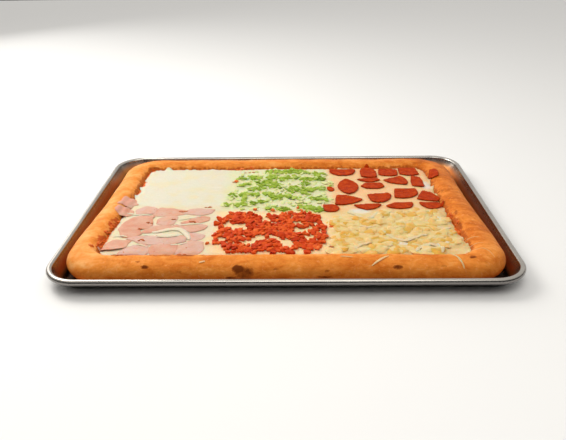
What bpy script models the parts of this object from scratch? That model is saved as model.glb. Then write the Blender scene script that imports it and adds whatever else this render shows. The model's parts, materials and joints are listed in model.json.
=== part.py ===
"""Combination pizza, baked in its full-size sheet pan.

A rectangular thick-crust pizza with six sections of topping: plain cheese, green
pepper and cut pepperoni at the back, ham, diced pepperoni and pineapple in front.
Metres, +Z up. The origin is the centre of the pan's underside, X runs along the
pizza's long side, and the front side is at -Y.
"""

import math
import random

import bmesh
import bpy
from mathutils import Vector, noise
from mathutils.bvhtree import BVHTree
from mathutils.geometry import intersect_point_line

MM = 0.001
GAP = 0.3 * MM
FLAT_ANGLE = math.radians(0.01)

# Sheet pan: 26 x 18 x 1 inch over its rolled rim
PAN_LENGTH = 0.6604
PAN_WIDTH = 0.4572
PAN_HEIGHT = 0.0254
PAN_SHEET = 1.2 * MM
PAN_CORNER = 0.050
BEAD_RADIUS = 4.5 * MM
WALL_FLARE = 0.0182
FLOOR_FILLET = 4.0 * MM

# Crust: outer edge where it is widest, and the edge of the topped field inside its rim
CRUST_LEFT = -0.3100
CRUST_RIGHT = 0.3105
CRUST_FRONT = -0.2110
CRUST_BACK = 0.2010
CRUST_CORNER = 0.058
FIELD_LEFT = -0.2680
FIELD_RIGHT = 0.2640
FIELD_FRONT = -0.1720
FIELD_BACK = 0.1550
FIELD_CORNER = 0.024
LEFT_TAPER = 0.0105
RIGHT_TAPER = 0.0085
TAPER_START = -0.150
TAPER_END = 0.030
TAPER_REACH = 0.250
CREST_HEIGHT = 0.0386
BACK_SINK = 2.2 * MM
BACK_SINK_START = 0.080
BACK_SINK_END = 0.180
FIELD_FLOOR = 0.0245
EDGE_WAVE = 1.4 * MM
EDGE_WAVES_PER_METRE = 16
CREST_WAVE = 1.3 * MM
CREST_WAVES_PER_METRE = 11
EDGE_SHIFT = Vector((0, 0, 3.1))
CREST_SHIFT = Vector((0, 0, 8.7))

# Rim profile from the base outwards, over the crest and down to the topped field:
# each row is the share of the rim's width, then the share of the crest's height
RIM_PROFILE = (
    (0.32, 0.000),
    (0.17, 0.100),
    (0.04, 0.280),
    (0.00, 0.500),
    (0.07, 0.710),
    (0.22, 0.870),
    (0.44, 0.965),
    (0.66, 1.000),
    (0.84, 0.940),
    (1.00, 0.790),
    (1.10, 0.610),
)
FLOOR_SHARE = 1.14

# Layers on the field: the sauce, the cheese and what lies on it
SAUCE_THICK = 1.2 * MM
SAUCE_SHARES = (1.20, 1.175)
CHEESE_EDGE_SHARES = (1.16, 1.055)
CHEESE_RAGGED = 3.0 * MM
CHEESE_RAGS_PER_METRE = 60
RAG_SHIFT = Vector((0, 0, 1.3))
CHEESE_BASE = 0.0262
CHEESE_TOP = 0.0297
CHEESE_WAVE = 0.6 * MM
CHEESE_WAVES_PER_METRE = 9
CHEESE_SHIFT = Vector((0, 0, 5.5))
CHEESE_CELLS = (15, 10)
TONGUE_THICK = 2.0 * MM
CLIMB_CELLS = (106, 76)
CLIMB_LIFT = 0.15
TOPPING_GAP = 1.5 * GAP
PEPPERONI_THICK = 2.0 * MM
PEPPERONI_ARC_STEP = 11.0 * MM
PEPPERONI_CUP = 1.2
HAM_THICK = 1.5 * MM
HEAP_CORE_THICK = 1.3 * MM

# Brown bubbles in the crust: x, y, half length, half width and height in mm
BLISTERS = (
    (-55, -202, 16, 9, 2.6),
    (-190, -200, 8, 5, 1.8),
    (150, -202, 8, 5, 1.6),
    (-252, 160, 9, 6, 2.0),
)
BLISTER_DEPTH = 2.5
BLISTER_SUNK = 0.6
SLOPE_REACH = 3.0

# Shreds of cheese baked onto the crust: start x, y and end x, y in mm
CRUST_SHREDS = (
    (118, -178, 141, -187),
    (236, -176, 247, -200),
    (262, -115, 286, -118),
    (258, -150, 280, -160),
    (76, -186, 93, -188),
)
SHRED_HALF_WIDTH = 1.6 * MM
SHRED_TOP_SHARE = 0.7
SHRED_HEIGHT = 1.1 * MM
SHRED_SUNK = 2.0 * MM

# Places where the cheese stops short and the sauce shows: x, y, reach and depth in mm
CHEESE_BITES = (
    (-272, -70, 28, 12),
    (-272, -128, 22, 14),
    (-230, -176, 30, 6),
    (-150, -176, 30, 5),
    (205, -176, 34, 8),
    (268, -55, 18, 7),
    (268, -100, 18, 8),
    (-258, 45, 26, 5),
    (-257, 92, 34, 7),
    (-88, 158, 20, 5),
)

# Cheese that ran up over the back rim: corner points in mm
CHEESE_TONGUE = ((-240, 142), (-204, 142), (-212, 156), (-217, 167), (-226, 158))

# Cut pepperoni. Each row is one piece: x, y in mm of a corner and the bulge of the
# side that starts there, as its rise over its half length. Corners run anticlockwise.
PEPPERONI = (
    ((125, 141, 0), (81, 143, 1.25)),
    ((135, 110, 0.25), (163, 108, 0), (161, 138, 0), (150, 160, 0), (137, 138, 0)),
    ((168, 117, 0.25), (200, 115, 0), (201, 140, 0), (171, 143, 0)),
    ((206, 119, 0.3), (239, 117, 0), (236, 149, 0), (207, 146, 0)),
    ((254, 95, 0.3), (268, 90, 0), (271, 118, 0), (260, 127, 0)),
    ((105, 96, 0.45), (106, 34, 0.6)),
    ((72, 61, 0.15), (75, 47, 0.15), (82, 50, 0), (81, 60, 0)),
    ((126, 97, 0.2), (147, 86, 0.2), (166, 92, 0), (160, 103, 0)),
    ((131, 66, 0.3), (150, 57, 0.3), (170, 64, 0), (166, 79, 0), (140, 80, 0)),
    ((172, 92, 0), (185, 80, 0), (209, 72, 0.25), (211, 95, 0.1), (204, 108, 0)),
    ((219, 68, 0.15), (239, 62, 0), (238, 101, 0), (224, 108, 0)),
    ((220, 52, 0), (187, 52, 0), (182, 18, 0.1), (205, 18, 0.35), (222, 42, 0)),
    ((232, 43, 0), (218, 12, 0.1), (246, 4, 0.1), (254, 14, 0.1), (246, 35, 0)),
    ((86, 27, 0), (82, -7, 0.2), (110, -1, 0.2), (127, 12, 0), (103, 26, 0)),
    ((138, 30, 0), (142, 8, 0.1), (150, 1, 0.2), (166, 6, 0.2), (175, 28, 0), (172, 36, 0)),
    ((112, -10, 0.2), (130, -26, 0.15), (146, -20, 0.1), (155, -10, 0), (150, -5, 0)),
    ((163, -14, 0.1), (172, -21, 0.1), (200, -21, 0.15), (206, -2, 0), (178, -3, 0)),
    ((257, -3, 0), (219, -2, 0.25), (231, -24, 0.3), (246, -20, 0.15)),
    ((62, -8, 0), (63, -33, 0.1), (80, -32, 0.1), (86, -22, 0.1), (80, -10, 0)),
)

# Ham. Each row is one scrap: x and y of its corners in mm, anticlockwise
HAM = (
    ((-252, -17), (-243, -3), (-251, 12), (-265, 12), (-270, -1), (-271, -15)),
    ((-262, -43), (-249, -47), (-240, -37), (-245, -25), (-258, -19), (-269, -21),
     (-273, -32)),
    ((-236, -36), (-214, -34), (-208, -21), (-226, -11), (-238, -26)),
    ((-198, -42), (-173, -41), (-163, -37), (-165, -25), (-182, -21), (-200, -16),
     (-210, -36)),
    ((-150, -37), (-134, -41), (-120, -36), (-116, -24), (-151, -22), (-161, -38)),
    ((-245, -106), (-234, -115), (-222, -113), (-215, -100), (-222, -89), (-210, -86),
     (-207, -74), (-210, -59), (-206, -47), (-226, -44), (-238, -53), (-248, -70),
     (-249, -90)),
    ((-187, -74), (-175, -72), (-172, -60), (-172, -48), (-188, -47), (-195, -55),
     (-196, -69)),
    ((-149, -74), (-136, -69), (-121, -61), (-121, -52), (-133, -49), (-147, -60),
     (-159, -67)),
    ((-161, -82), (-152, -91), (-141, -98), (-128, -91), (-121, -80), (-136, -73),
     (-153, -77), (-170, -77)),
    ((-135, -126), (-123, -120), (-120, -110), (-140, -104), (-139, -116)),
    ((-207, -102), (-198, -98), (-184, -91), (-162, -85), (-172, -80), (-204, -81),
     (-213, -97)),
    ((-216, -127), (-205, -134), (-166, -135), (-148, -128), (-148, -116), (-157, -110),
     (-192, -114), (-217, -113), (-231, -121)),
    ((-258, -151), (-244, -152), (-231, -145), (-227, -127), (-246, -126), (-258, -131),
     (-265, -146)),
    ((-230, -166), (-199, -165), (-194, -156), (-200, -144), (-209, -137), (-222, -147),
     (-235, -162)),
    ((-185, -166), (-160, -166), (-158, -157), (-155, -141), (-175, -138), (-189, -143),
     (-189, -156)),
    ((-149, -163), (-134, -166), (-121, -161), (-119, -151), (-120, -132), (-139, -129),
     (-150, -142), (-155, -157)),
)
HAM_LIFTED = 13
HAM_LIFT = 4.5 * MM
HAM_LIFT_SHARE = 0.4
HAM_WAVE = 0.5 * MM
HAM_WAVES_PER_METRE = 45
HAM_INSET = 4.0 * MM

# Green pepper: strokes where it lies thickest, as x, y, x, y, half width in mm and a
# count of pieces
PEPPER_STROKES = (
    (-36, 131, 19, 130, 6, 9),
    (-23, 114, -42, 66, 7, 9),
    (-34, 84, -13, 65, 8, 7),
    (-30, 38, -15, 17, 5, 5),
    (-15, 17, 2, 30, 6, 4),
    (1, 51, 37, 50, 8, 8),
    (1, 138, 67, 121, 5, 10),
    (-8, 103, 16, 102, 7, 6),
    (-83, 102, -75, 102, 4, 2),
    (-65, 106, -48, 101, 5, 3),
    (-61, 88, -49, 88, 3, 2),
    (-83, 68, -66, 79, 3, 3),
    (-60, 55, -42, 55, 7, 4),
    (-66, 34, -44, 34, 2, 3),
    (-81, 31, -63, 31, 3, 3),
    (-70, 25, -68, 5, 3, 3),
    (-100, -8, -58, -6, 3, 6),
    (-53, -2, -33, 6, 3, 3),
    (29, 98, 60, 98, 8, 6),
    (64, 68, 76, 56, 5, 3),
    (43, 54, 63, 57, 6, 5),
    (42, 19, 65, 9, 5, 4),
    (10, 17, 20, 16, 3, 1),
    (-32, -18, -13, -21, 2, 3),
    (-10, -25, 10, -26, 3, 3),
    (28, -16, 58, -30, 8, 11),
    (30, 76, 38, 79, 4, 2),
    (28, 37, 37, 35, 3, 2),
)
PEPPER_FIELD = ((-106, -14), (-62, -24), (-34, -26), (-10, -31), (24, -31), (34, -36),
                (57, -36), (57, -5), (76, 2), (68, 44), (78, 98), (72, 130), (40, 140),
                (10, 144), (-46, 141), (-82, 120), (-90, 92), (-86, 50), (-98, 30))
PEPPER_SIZE = 8.0 * MM
PEPPER_HEIGHT = 4.0 * MM
PEPPER_APART = 6.5
PEPPER_SPREAD = 0.55
PEPPER_CLEAR = 7.5

# Diced pepperoni: its field, the spacing of its pieces and the cheese-filled holes in it,
# as x, y and radius in mm
DICED_FIELD = ((-104, -56), (-106, -74), (-101, -92), (-105, -110), (-103, -136),
               (-90, -138), (-88, -164), (-35, -165), (12, -165), (38, -163), (50, -150),
               (60, -127), (61, -109), (61, -85), (52, -76), (53, -46), (24, -40),
               (-1, -39), (-39, -52), (-45, -41), (-77, -38))
DICED_SPACING = 13.2
DICED_HOLES = ((-76, -82, 8), (-51, -134, 5), (-36, -122, 5), (-13, -121, 4), (2, -137, 5),
               (17, -76, 4), (23, -98, 6), (37, -120, 4), (22, -160, 5), (-32, -60, 4))
DICED_SIZE = 10.0 * MM
DICED_HEIGHT = 5.0 * MM
DICED_CLEAR = 8

# Pineapple tidbits: their field and spacing in mm
PINEAPPLE_FIELD = ((62, -160), (67, -163), (98, -165), (175, -165), (210, -164), (242, -160),
                   (248, -134), (247, -111), (248, -82), (246, -50), (240, -36), (208, -33),
                   (153, -36), (130, -58), (93, -60), (80, -50), (72, -60), (72, -80),
                   (78, -105), (70, -132))
PINEAPPLE_SPACING = 19.0
PINEAPPLE_HOLES = ((138, -56, 10), (237, -154, 12), (191, -156, 9), (239, -86, 8))
PINEAPPLE_SIZE = 15.0 * MM
PINEAPPLE_HEIGHT = 5.0 * MM
PINEAPPLE_CLEAR = 12

# Rows of scattered pieces: how close the rows are and how far each piece is shaken, as
# shares of the spacing, and how uneven a piece is
ROW_SHARE = 0.87
SHAKE = 0.25
PIECE_SIDES = 4
PIECE_TOP = 0.4
PIECE_STRETCH = (0.75, 1.2)
PIECE_UNEVEN = (0.85, 1.1)
PIECE_RISE = (0.7, 1.15)
PIECE_SCALE = (0.8, 1.15)


def srgb(red, green, blue):
    """A colour from 0 to 255 as the linear values that a shader takes."""
    linear = []
    for value in (red, green, blue):
        share = value / 255
        linear.append(share / 12.92 if share <= 0.04045 else ((share + 0.055) / 1.055) ** 2.4)
    return (*linear, 1.0)


def make_material(name, colour, roughness, metallic=0.0):
    material = bpy.data.materials.new(name)
    material.use_nodes = True
    shader = material.node_tree.nodes["Principled BSDF"]
    shader.inputs["Base Color"].default_value = colour
    shader.inputs["Roughness"].default_value = roughness
    shader.inputs["Metallic"].default_value = metallic
    material.diffuse_color = colour
    return material


def clear_scene():
    for item in list(bpy.data.objects):
        bpy.data.objects.remove(item, do_unlink=True)


def add_object(name, bm, material, smooth=True):
    """Turn a bmesh into an object in the scene, with its faces pointing out."""
    bmesh.ops.recalc_face_normals(bm, faces=bm.faces[:])
    mesh = bpy.data.meshes.new(name)
    bm.to_mesh(mesh)
    bm.free()
    if material:
        mesh.materials.append(material)
    if smooth:
        mesh.shade_smooth()
        mesh.set_sharp_from_angle(angle=math.radians(40))
    item = bpy.data.objects.new(name, mesh)
    bpy.context.scene.collection.objects.link(item)
    return item


def tidy_result(mesh):
    """Keep the largest shell, which fills sealed hollows and drops loose scraps."""
    bm = bmesh.new()
    bm.from_mesh(mesh)
    shells = []
    waiting = set(bm.faces)
    while waiting:
        shell = {waiting.pop()}
        edge_of_shell = list(shell)
        while edge_of_shell:
            face = edge_of_shell.pop()
            for edge in face.edges:
                for other in edge.link_faces:
                    if other in waiting:
                        waiting.remove(other)
                        shell.add(other)
                        edge_of_shell.append(other)
        shells.append(shell)
    largest = max(shells, key=len)
    extra = [face for shell in shells if shell is not largest for face in shell]
    bmesh.ops.delete(bm, geom=extra, context="FACES")
    bmesh.ops.dissolve_limit(bm, angle_limit=FLAT_ANGLE, verts=bm.verts[:], edges=bm.edges[:])
    bmesh.ops.recalc_face_normals(bm, faces=bm.faces[:])
    bm.to_mesh(mesh)
    bm.free()


def boolean(target, cutters, operation):
    """Join or intersect an object with others, keep the result and remove the others."""
    group = bpy.data.collections.new(target.name + "_pieces")
    bpy.context.scene.collection.children.link(group)
    for cutter in cutters:
        group.objects.link(cutter)
    modifier = target.modifiers.new(operation.lower(), "BOOLEAN")
    modifier.operand_type = "COLLECTION"
    modifier.collection = group
    modifier.operation = operation
    modifier.solver = "EXACT"
    graph = bpy.context.evaluated_depsgraph_get()
    result = bpy.data.meshes.new_from_object(target.evaluated_get(graph))
    target.modifiers.remove(modifier)
    tidy_result(result)
    target.data = result
    for cutter in cutters:
        bpy.data.objects.remove(cutter, do_unlink=True)
    bpy.data.collections.remove(group)


def rounded_rectangle(left, right, front, back, radius, corner_steps, long_steps, short_steps):
    """Points round a rounded rectangle, anticlockwise from the front side's right end."""
    corners = (
        (right - radius, front + radius, -90),
        (right - radius, back - radius, 0),
        (left + radius, back - radius, 90),
        (left + radius, front + radius, 180),
    )
    points = []
    for index, (x, y, start) in enumerate(corners):
        arc = []
        for step in range(corner_steps + 1):
            angle = math.radians(start + 90 * step / corner_steps)
            arc.append(Vector((x + radius * math.cos(angle), y + radius * math.sin(angle))))
        if points:
            steps = short_steps if index % 2 else long_steps
            last = points[-1]
            points += [last.lerp(arc[0], step / steps) for step in range(1, steps)]
        points += arc
    last = points[-1]
    points += [last.lerp(points[0], step / long_steps) for step in range(1, long_steps)]
    return points


def bridge_rings(bm, rings):
    """Join rings of equal length into a closed skin, with both ends filled."""
    loops = [[bm.verts.new(point) for point in ring] for ring in rings]
    edges = []
    for loop in loops:
        edges.append([bm.edges.new((loop[i - 1], loop[i])) for i in range(len(loop))])
    for lower, upper in zip(edges, edges[1:]):
        bmesh.ops.bridge_loops(bm, edges=lower + upper)
    bm.faces.new(loops[0])
    bm.faces.new(loops[-1])


def pan_ring(offset, height):
    """A ring of the pan, a given way out from the edge of its floor."""
    half_x = PAN_LENGTH / 2 - WALL_FLARE - BEAD_RADIUS + offset
    half_y = PAN_WIDTH / 2 - WALL_FLARE - BEAD_RADIUS + offset
    radius = PAN_CORNER - WALL_FLARE - BEAD_RADIUS + offset
    flat = rounded_rectangle(-half_x, half_x, -half_y, half_y, radius, 7, 1, 1)
    return [(point.x, point.y, height) for point in flat]


def build_pan(material):
    """The open tray: flat floor, flared walls and a rolled bead round the top."""
    bead_height = PAN_HEIGHT - BEAD_RADIUS
    profile = [
        (-FLOOR_FILLET, PAN_SHEET),
        (-0.3 * FLOOR_FILLET, PAN_SHEET + 0.2 * FLOOR_FILLET),
        (0.35 * FLOOR_FILLET, PAN_SHEET + FLOOR_FILLET),
    ]
    for degrees in range(180, -136, -45):
        angle = math.radians(degrees)
        profile.append((WALL_FLARE + BEAD_RADIUS * math.cos(angle),
                        bead_height + BEAD_RADIUS * math.sin(angle)))
    profile += [
        (0.35 * FLOOR_FILLET + 1.1 * PAN_SHEET, 0.85 * FLOOR_FILLET),
        (0.2 * FLOOR_FILLET, 0.15 * FLOOR_FILLET),
        (-0.5 * FLOOR_FILLET, 0.0),
    ]
    bm = bmesh.new()
    bridge_rings(bm, [pan_ring(offset, height) for offset, height in profile])
    return add_object("sheet_pan", bm, material)


def smooth_rise(value, low, high):
    """A smooth rise from 0 to 1 as a value goes from low to high."""
    share = min(max((value - low) / (high - low), 0.0), 1.0)
    return share * share * (3 - 2 * share)


def taper(point):
    """Draw the crust's sides in towards the back, as it shrank from the pan there."""
    share = smooth_rise(point.y, TAPER_START, TAPER_END)
    inward = LEFT_TAPER if point.x < 0 else -RIGHT_TAPER
    reach = min(abs(point.x) / TAPER_REACH, 1.0) ** 4
    return Vector((point.x + inward * share * reach, point.y))


def crust_outlines():
    """The crust's widest outline and the field's edge, with points that match."""
    steps = (6, 12, 7)
    outer = rounded_rectangle(CRUST_LEFT, CRUST_RIGHT, CRUST_FRONT, CRUST_BACK,
                              CRUST_CORNER, *steps)
    inner = rounded_rectangle(FIELD_LEFT, FIELD_RIGHT, FIELD_FRONT, FIELD_BACK,
                              FIELD_CORNER, *steps)
    return [taper(point) for point in outer], [taper(point) for point in inner]


def rim_point(outer, inner, share):
    """A point a share of the way from the crust's edge to the field, with its wave."""
    wave = noise.noise(Vector((outer.x, outer.y, 0)) * EDGE_WAVES_PER_METRE + EDGE_SHIFT)
    inward = (inner - outer).normalized()
    return outer.lerp(inner, share) + inward * EDGE_WAVE * wave


def build_crust(material):
    """The bread: a flat base, a puffy rim and the sunken field that takes the topping."""
    base = PAN_SHEET + GAP
    outer_line, inner_line = crust_outlines()
    rings = []
    for share, rise in RIM_PROFILE:
        ring = []
        for outer, inner in zip(outer_line, inner_line):
            point = rim_point(outer, inner, share)
            swell = noise.noise(Vector((outer.x, outer.y, 0)) * CREST_WAVES_PER_METRE
                                + CREST_SHIFT)
            sink = BACK_SINK * smooth_rise(outer.y, BACK_SINK_START, BACK_SINK_END)
            crest = CREST_HEIGHT - sink + CREST_WAVE * swell * rise
            height = base + rise * (crest - base)
            ring.append((point.x, point.y, height))
        rings.append(ring)
    floor_ring = []
    for outer, inner in zip(outer_line, inner_line):
        point = rim_point(outer, inner, FLOOR_SHARE)
        floor_ring.append((point.x, point.y, FIELD_FLOOR))
    rings.append(floor_ring)
    bm = bmesh.new()
    bridge_rings(bm, rings)
    return add_object("crust", bm, material)


def surface_reader(items):
    """A function that gives the height of the highest surface under a point."""
    trees = []
    for item in items:
        bm = bmesh.new()
        bm.from_mesh(item.data)
        bmesh.ops.triangulate(bm, faces=bm.faces[:])
        trees.append(BVHTree.FromBMesh(bm))
        bm.free()

    def height_at(x, y):
        heights = [0.0]
        for tree in trees:
            hit = tree.ray_cast(Vector((x, y, 0.2)), Vector((0, 0, -1)))[0]
            if hit is not None:
                heights.append(hit.z)
        return max(heights)

    return height_at


def finish_crust(crust, material):
    """Fuse the brown bubbles and the baked-on shreds of cheese to the crust."""
    height_at = surface_reader([crust])
    pieces = []
    for x, y, half_length, half_width, rise in BLISTERS:
        bm = bmesh.new()
        bmesh.ops.create_icosphere(bm, subdivisions=2, radius=1.0)
        slope = (height_at(x * MM, (y + SLOPE_REACH) * MM)
                 - height_at(x * MM, (y - SLOPE_REACH) * MM)) / (2 * SLOPE_REACH * MM)
        depth = BLISTER_DEPTH * rise * MM
        middle = height_at(x * MM, y * MM) - BLISTER_SUNK * depth
        for vert in bm.verts:
            local = Vector((vert.co.x * half_length, vert.co.y * half_width)) * MM
            vert.co = Vector((x * MM + local.x, y * MM + local.y,
                              middle + slope * local.y + vert.co.z * depth))
        pieces.append(add_object("blister", bm, material))
    for x0, y0, x1, y1 in CRUST_SHREDS:
        start = Vector((x0, y0)) * MM
        end = Vector((x1, y1)) * MM
        side = (end - start).orthogonal().normalized() * SHRED_HALF_WIDTH
        top_side = side * SHRED_TOP_SHARE
        bm = bmesh.new()
        rings = []
        for share in (0.0, 0.35, 0.7, 1.0):
            middle = start.lerp(end, share)
            ground = height_at(middle.x, middle.y)
            rings.append([
                (middle.x - side.x, middle.y - side.y, ground - SHRED_SUNK),
                (middle.x + side.x, middle.y + side.y, ground - SHRED_SUNK),
                (middle.x + top_side.x, middle.y + top_side.y, ground + SHRED_HEIGHT),
                (middle.x - top_side.x, middle.y - top_side.y, ground + SHRED_HEIGHT),
            ])
        bridge_rings(bm, rings)
        pieces.append(add_object("shred", bm, material))
    boolean(crust, pieces, "UNION")


def field_ring(share, height, bite=0.0):
    """A ring just inside the field's edge, drawn back where the cheese stops short."""
    outer_line, inner_line = crust_outlines()
    ring = []
    for outer, inner in zip(outer_line, inner_line):
        point = rim_point(outer, inner, share)
        inward = (inner - outer).normalized()
        place = Vector((point.x, point.y, 0)) * CHEESE_RAGS_PER_METRE + RAG_SHIFT
        ragged = CHEESE_RAGGED * abs(noise.noise(place))
        for x, y, reach, depth in CHEESE_BITES:
            distance = (Vector((x, y)) * MM - point).length / (reach * MM)
            ragged += depth * MM * math.exp(-distance * distance)
        point = point + inward * ragged * bite
        ring.append((point.x, point.y, height))
    return ring


def build_sauce(material):
    """A thin layer of sauce on the field's floor, seen where the cheese stops short."""
    base = FIELD_FLOOR + GAP
    bm = bmesh.new()
    bridge_rings(bm, [field_ring(SAUCE_SHARES[0], base),
                      field_ring(SAUCE_SHARES[1], base + SAUCE_THICK)])
    return add_object("sauce", bm, material)


def cheese_wave(x, y):
    place = Vector((x, y, 0)) * CHEESE_WAVES_PER_METRE + CHEESE_SHIFT
    return CHEESE_WAVE * noise.noise(place)


def build_cheese(crust, material):
    """Melted cheese over the field, with a ragged edge and a tongue up the back rim."""
    bm = bmesh.new()
    bmesh.ops.create_grid(bm, x_segments=CHEESE_CELLS[0], y_segments=CHEESE_CELLS[1], size=1.0)
    for vert in bm.verts:
        vert.co.x *= PAN_LENGTH / 2
        vert.co.y *= PAN_WIDTH / 2
        vert.co.z = CHEESE_TOP + cheese_wave(vert.co.x, vert.co.y)
    raised = bmesh.ops.extrude_face_region(bm, geom=bm.faces[:])
    for item in raised["geom"]:
        if isinstance(item, bmesh.types.BMVert):
            item.co.z = CHEESE_BASE
    cheese = add_object("cheese", bm, material)

    bm = bmesh.new()
    bridge_rings(bm, [field_ring(CHEESE_EDGE_SHARES[0], CHEESE_BASE - 1 * MM, 1.0),
                      field_ring(CHEESE_EDGE_SHARES[1], CHEESE_TOP + 2 * MM, 1.0)])
    boolean(cheese, [add_object("cheese_edge", bm, None)], "INTERSECT")

    height_at = surface_reader([crust])
    outline = [Vector(corner) * MM for corner in CHEESE_TONGUE]

    def lie(x, y):
        return max(height_at(x, y) + 3 * GAP, CHEESE_BASE + GAP)

    tongue = split_piece(outline, lie, TONGUE_THICK, CLIMB_CELLS)
    boolean(cheese, [add_object("cheese_tongue", tongue, None)], "UNION")
    return cheese


def sheet_piece(outline, height_at, thickness, insets=()):
    """A small sheet split into rings, which follows what it lies on."""
    bm = bmesh.new()
    face = bm.faces.new([bm.verts.new((point.x, point.y, 0)) for point in outline])
    for depth in insets:
        bmesh.ops.inset_region(bm, faces=[face], thickness=depth, use_even_offset=True)
    bmesh.ops.poke(bm, faces=[face])
    drape(bm, height_at, thickness)
    return bm


def split_piece(outline, height_at, thickness, cells):
    """A sheet split along a grid of so many cells to the pan's length and width."""
    bm = bmesh.new()
    bm.faces.new([bm.verts.new((point.x, point.y, 0)) for point in outline])
    spans = ((PAN_LENGTH, cells[0], (1, 0, 0)), (PAN_WIDTH, cells[1], (0, 1, 0)))
    for span, count, normal in spans:
        for line in range(1, count):
            where = Vector(normal) * (line / count - 0.5) * span
            bmesh.ops.bisect_plane(bm, geom=bm.verts[:] + bm.edges[:] + bm.faces[:],
                                   plane_co=where, plane_no=normal, dist=1e-6)
    drape(bm, height_at, thickness)
    return bm


def topping_sheet(outline, height_at, thickness, insets=()):
    """A slice of topping; one that climbs the rim is split finely, to bend with it."""
    climbs = max(height_at(point.x, point.y) for point in outline) > CHEESE_TOP + 3 * MM
    if climbs:
        return split_piece(outline, height_at, thickness, CLIMB_CELLS)
    return sheet_piece(outline, height_at, thickness, insets)


def drape(bm, height_at, thickness):
    """Lay a flat sheet on what is under it and thicken it, both faces split alike."""
    bmesh.ops.triangulate(bm, faces=bm.faces[:])
    for vert in bm.verts:
        vert.co.z = height_at(vert.co.x, vert.co.y)
    raised = bmesh.ops.extrude_face_region(bm, geom=bm.faces[:])
    lifted = [item for item in raised["geom"] if isinstance(item, bmesh.types.BMVert)]
    bmesh.ops.translate(bm, vec=(0, 0, thickness), verts=lifted)


def bulged_outline(corners, step):
    """Points round a piece whose sides are straight or bulge out as arcs."""
    points = []
    count = len(corners)
    for index in range(count):
        x0, y0, bulge = corners[index]
        x1, y1 = corners[(index + 1) % count][:2]
        start = Vector((x0, y0)) * MM
        end = Vector((x1, y1)) * MM
        points.append(start)
        chord = end - start
        if bulge == 0:
            continue
        turn = 4 * math.atan(bulge)
        radius = chord.length / 2 / math.sin(turn / 2)
        outward = Vector((chord.y, -chord.x)).normalized()
        centre = (start + end) / 2 - outward * radius * math.cos(turn / 2)
        steps = max(2, round(abs(turn) * radius / step))
        for number in range(1, steps):
            angle = turn * number / steps
            arm = start - centre
            points.append(centre + Vector((
                arm.x * math.cos(angle) - arm.y * math.sin(angle),
                arm.x * math.sin(angle) + arm.y * math.cos(angle))))
    return points


def build_pepperoni(height_at, material):
    """Halves, quarters and wedges cut from thick slices, each a little cupped."""
    outlines = []
    for number, corners in enumerate(PEPPERONI, start=1):
        outline = bulged_outline(corners, PEPPERONI_ARC_STEP)
        middle = sum(outline, Vector((0, 0))) / len(outline)

        def lie(x, y):
            cup = (Vector((x, y)) - middle).length_squared * PEPPERONI_CUP
            return height_at(x, y) + TOPPING_GAP + cup

        bm = topping_sheet(outline, lie, PEPPERONI_THICK)
        add_object("pepperoni_%02d" % number, bm, material)
        outlines.append(outline)
    return outlines


def build_ham(height_at, material):
    """Thin scraps of ham, gently waved; one stands up along its front edge."""
    outlines = []
    for number, corners in enumerate(HAM, start=1):
        outline = [Vector(corner) * MM for corner in corners]
        front = min(point.y for point in outline)
        back = max(point.y for point in outline)

        def lie(x, y):
            place = Vector((x, y, 0)) * HAM_WAVES_PER_METRE + Vector((0, 0, number))
            wave = HAM_WAVE * (1 + noise.noise(place))
            lift = 0.0
            if number == HAM_LIFTED:
                lift = HAM_LIFT * max(1 - (y - front) / (HAM_LIFT_SHARE * (back - front)), 0.0)
            return height_at(x, y) + TOPPING_GAP + wave + lift

        bm = topping_sheet(outline, lie, HAM_THICK, (HAM_INSET,))
        add_object("ham_%02d" % number, bm, material)
        outlines.append(outline)
    return outlines


def inside(point, corners):
    """Whether a point lies inside a closed outline."""
    hit = False
    for (x0, y0), (x1, y1) in zip(corners, corners[1:] + corners[:1]):
        if (y0 > point[1]) != (y1 > point[1]):
            cross = x0 + (point[1] - y0) * (x1 - x0) / (y1 - y0)
            hit = hit != (point[0] < cross)
    return hit


def heap_core(name, corners, height_at, material):
    """The thin melted bed that holds a heap's pieces together."""
    outline = [Vector(corner) * MM for corner in corners]
    core = split_piece(outline, lambda x, y: height_at(x, y) + TOPPING_GAP, HEAP_CORE_THICK,
                       CHEESE_CELLS)
    return add_object(name, core, material)


def chunk(rng, x, y, bottom, size, rise, material):
    """One diced piece, a many-sided block with uneven corners."""
    bm = bmesh.new()
    bmesh.ops.create_cone(bm, cap_ends=True, segments=PIECE_SIDES, radius1=0.5,
                          radius2=PIECE_TOP, depth=1.0)
    stretch = rng.uniform(*PIECE_STRETCH)
    turn = rng.uniform(0, math.pi)
    for vert in bm.verts:
        local = Vector((vert.co.x * size * stretch, vert.co.y * size / stretch))
        local *= rng.uniform(*PIECE_UNEVEN)
        height = bottom if vert.co.z < 0 else bottom + rise * rng.uniform(*PIECE_RISE)
        vert.co = Vector((x + local.x * math.cos(turn) - local.y * math.sin(turn),
                          y + local.x * math.sin(turn) + local.y * math.cos(turn), height))
    return add_object("chunk", bm, material, smooth=False)


def stroke_places(rng):
    """Where the green pepper lies: scattered along its strokes, a piece's width apart."""
    places = []
    for x0, y0, x1, y1, half_width, count in PEPPER_STROKES:
        for _ in range(count):
            share = rng.random()
            x = x0 + (x1 - x0) * share + rng.gauss(0, half_width * PEPPER_SPREAD)
            y = y0 + (y1 - y0) * share + rng.gauss(0, half_width * PEPPER_SPREAD)
            apart = all(math.hypot(x - a, y - b) > PEPPER_APART for a, b in places)
            if apart and inside((x, y), PEPPER_FIELD):
                places.append((x, y))
    return places


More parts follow.
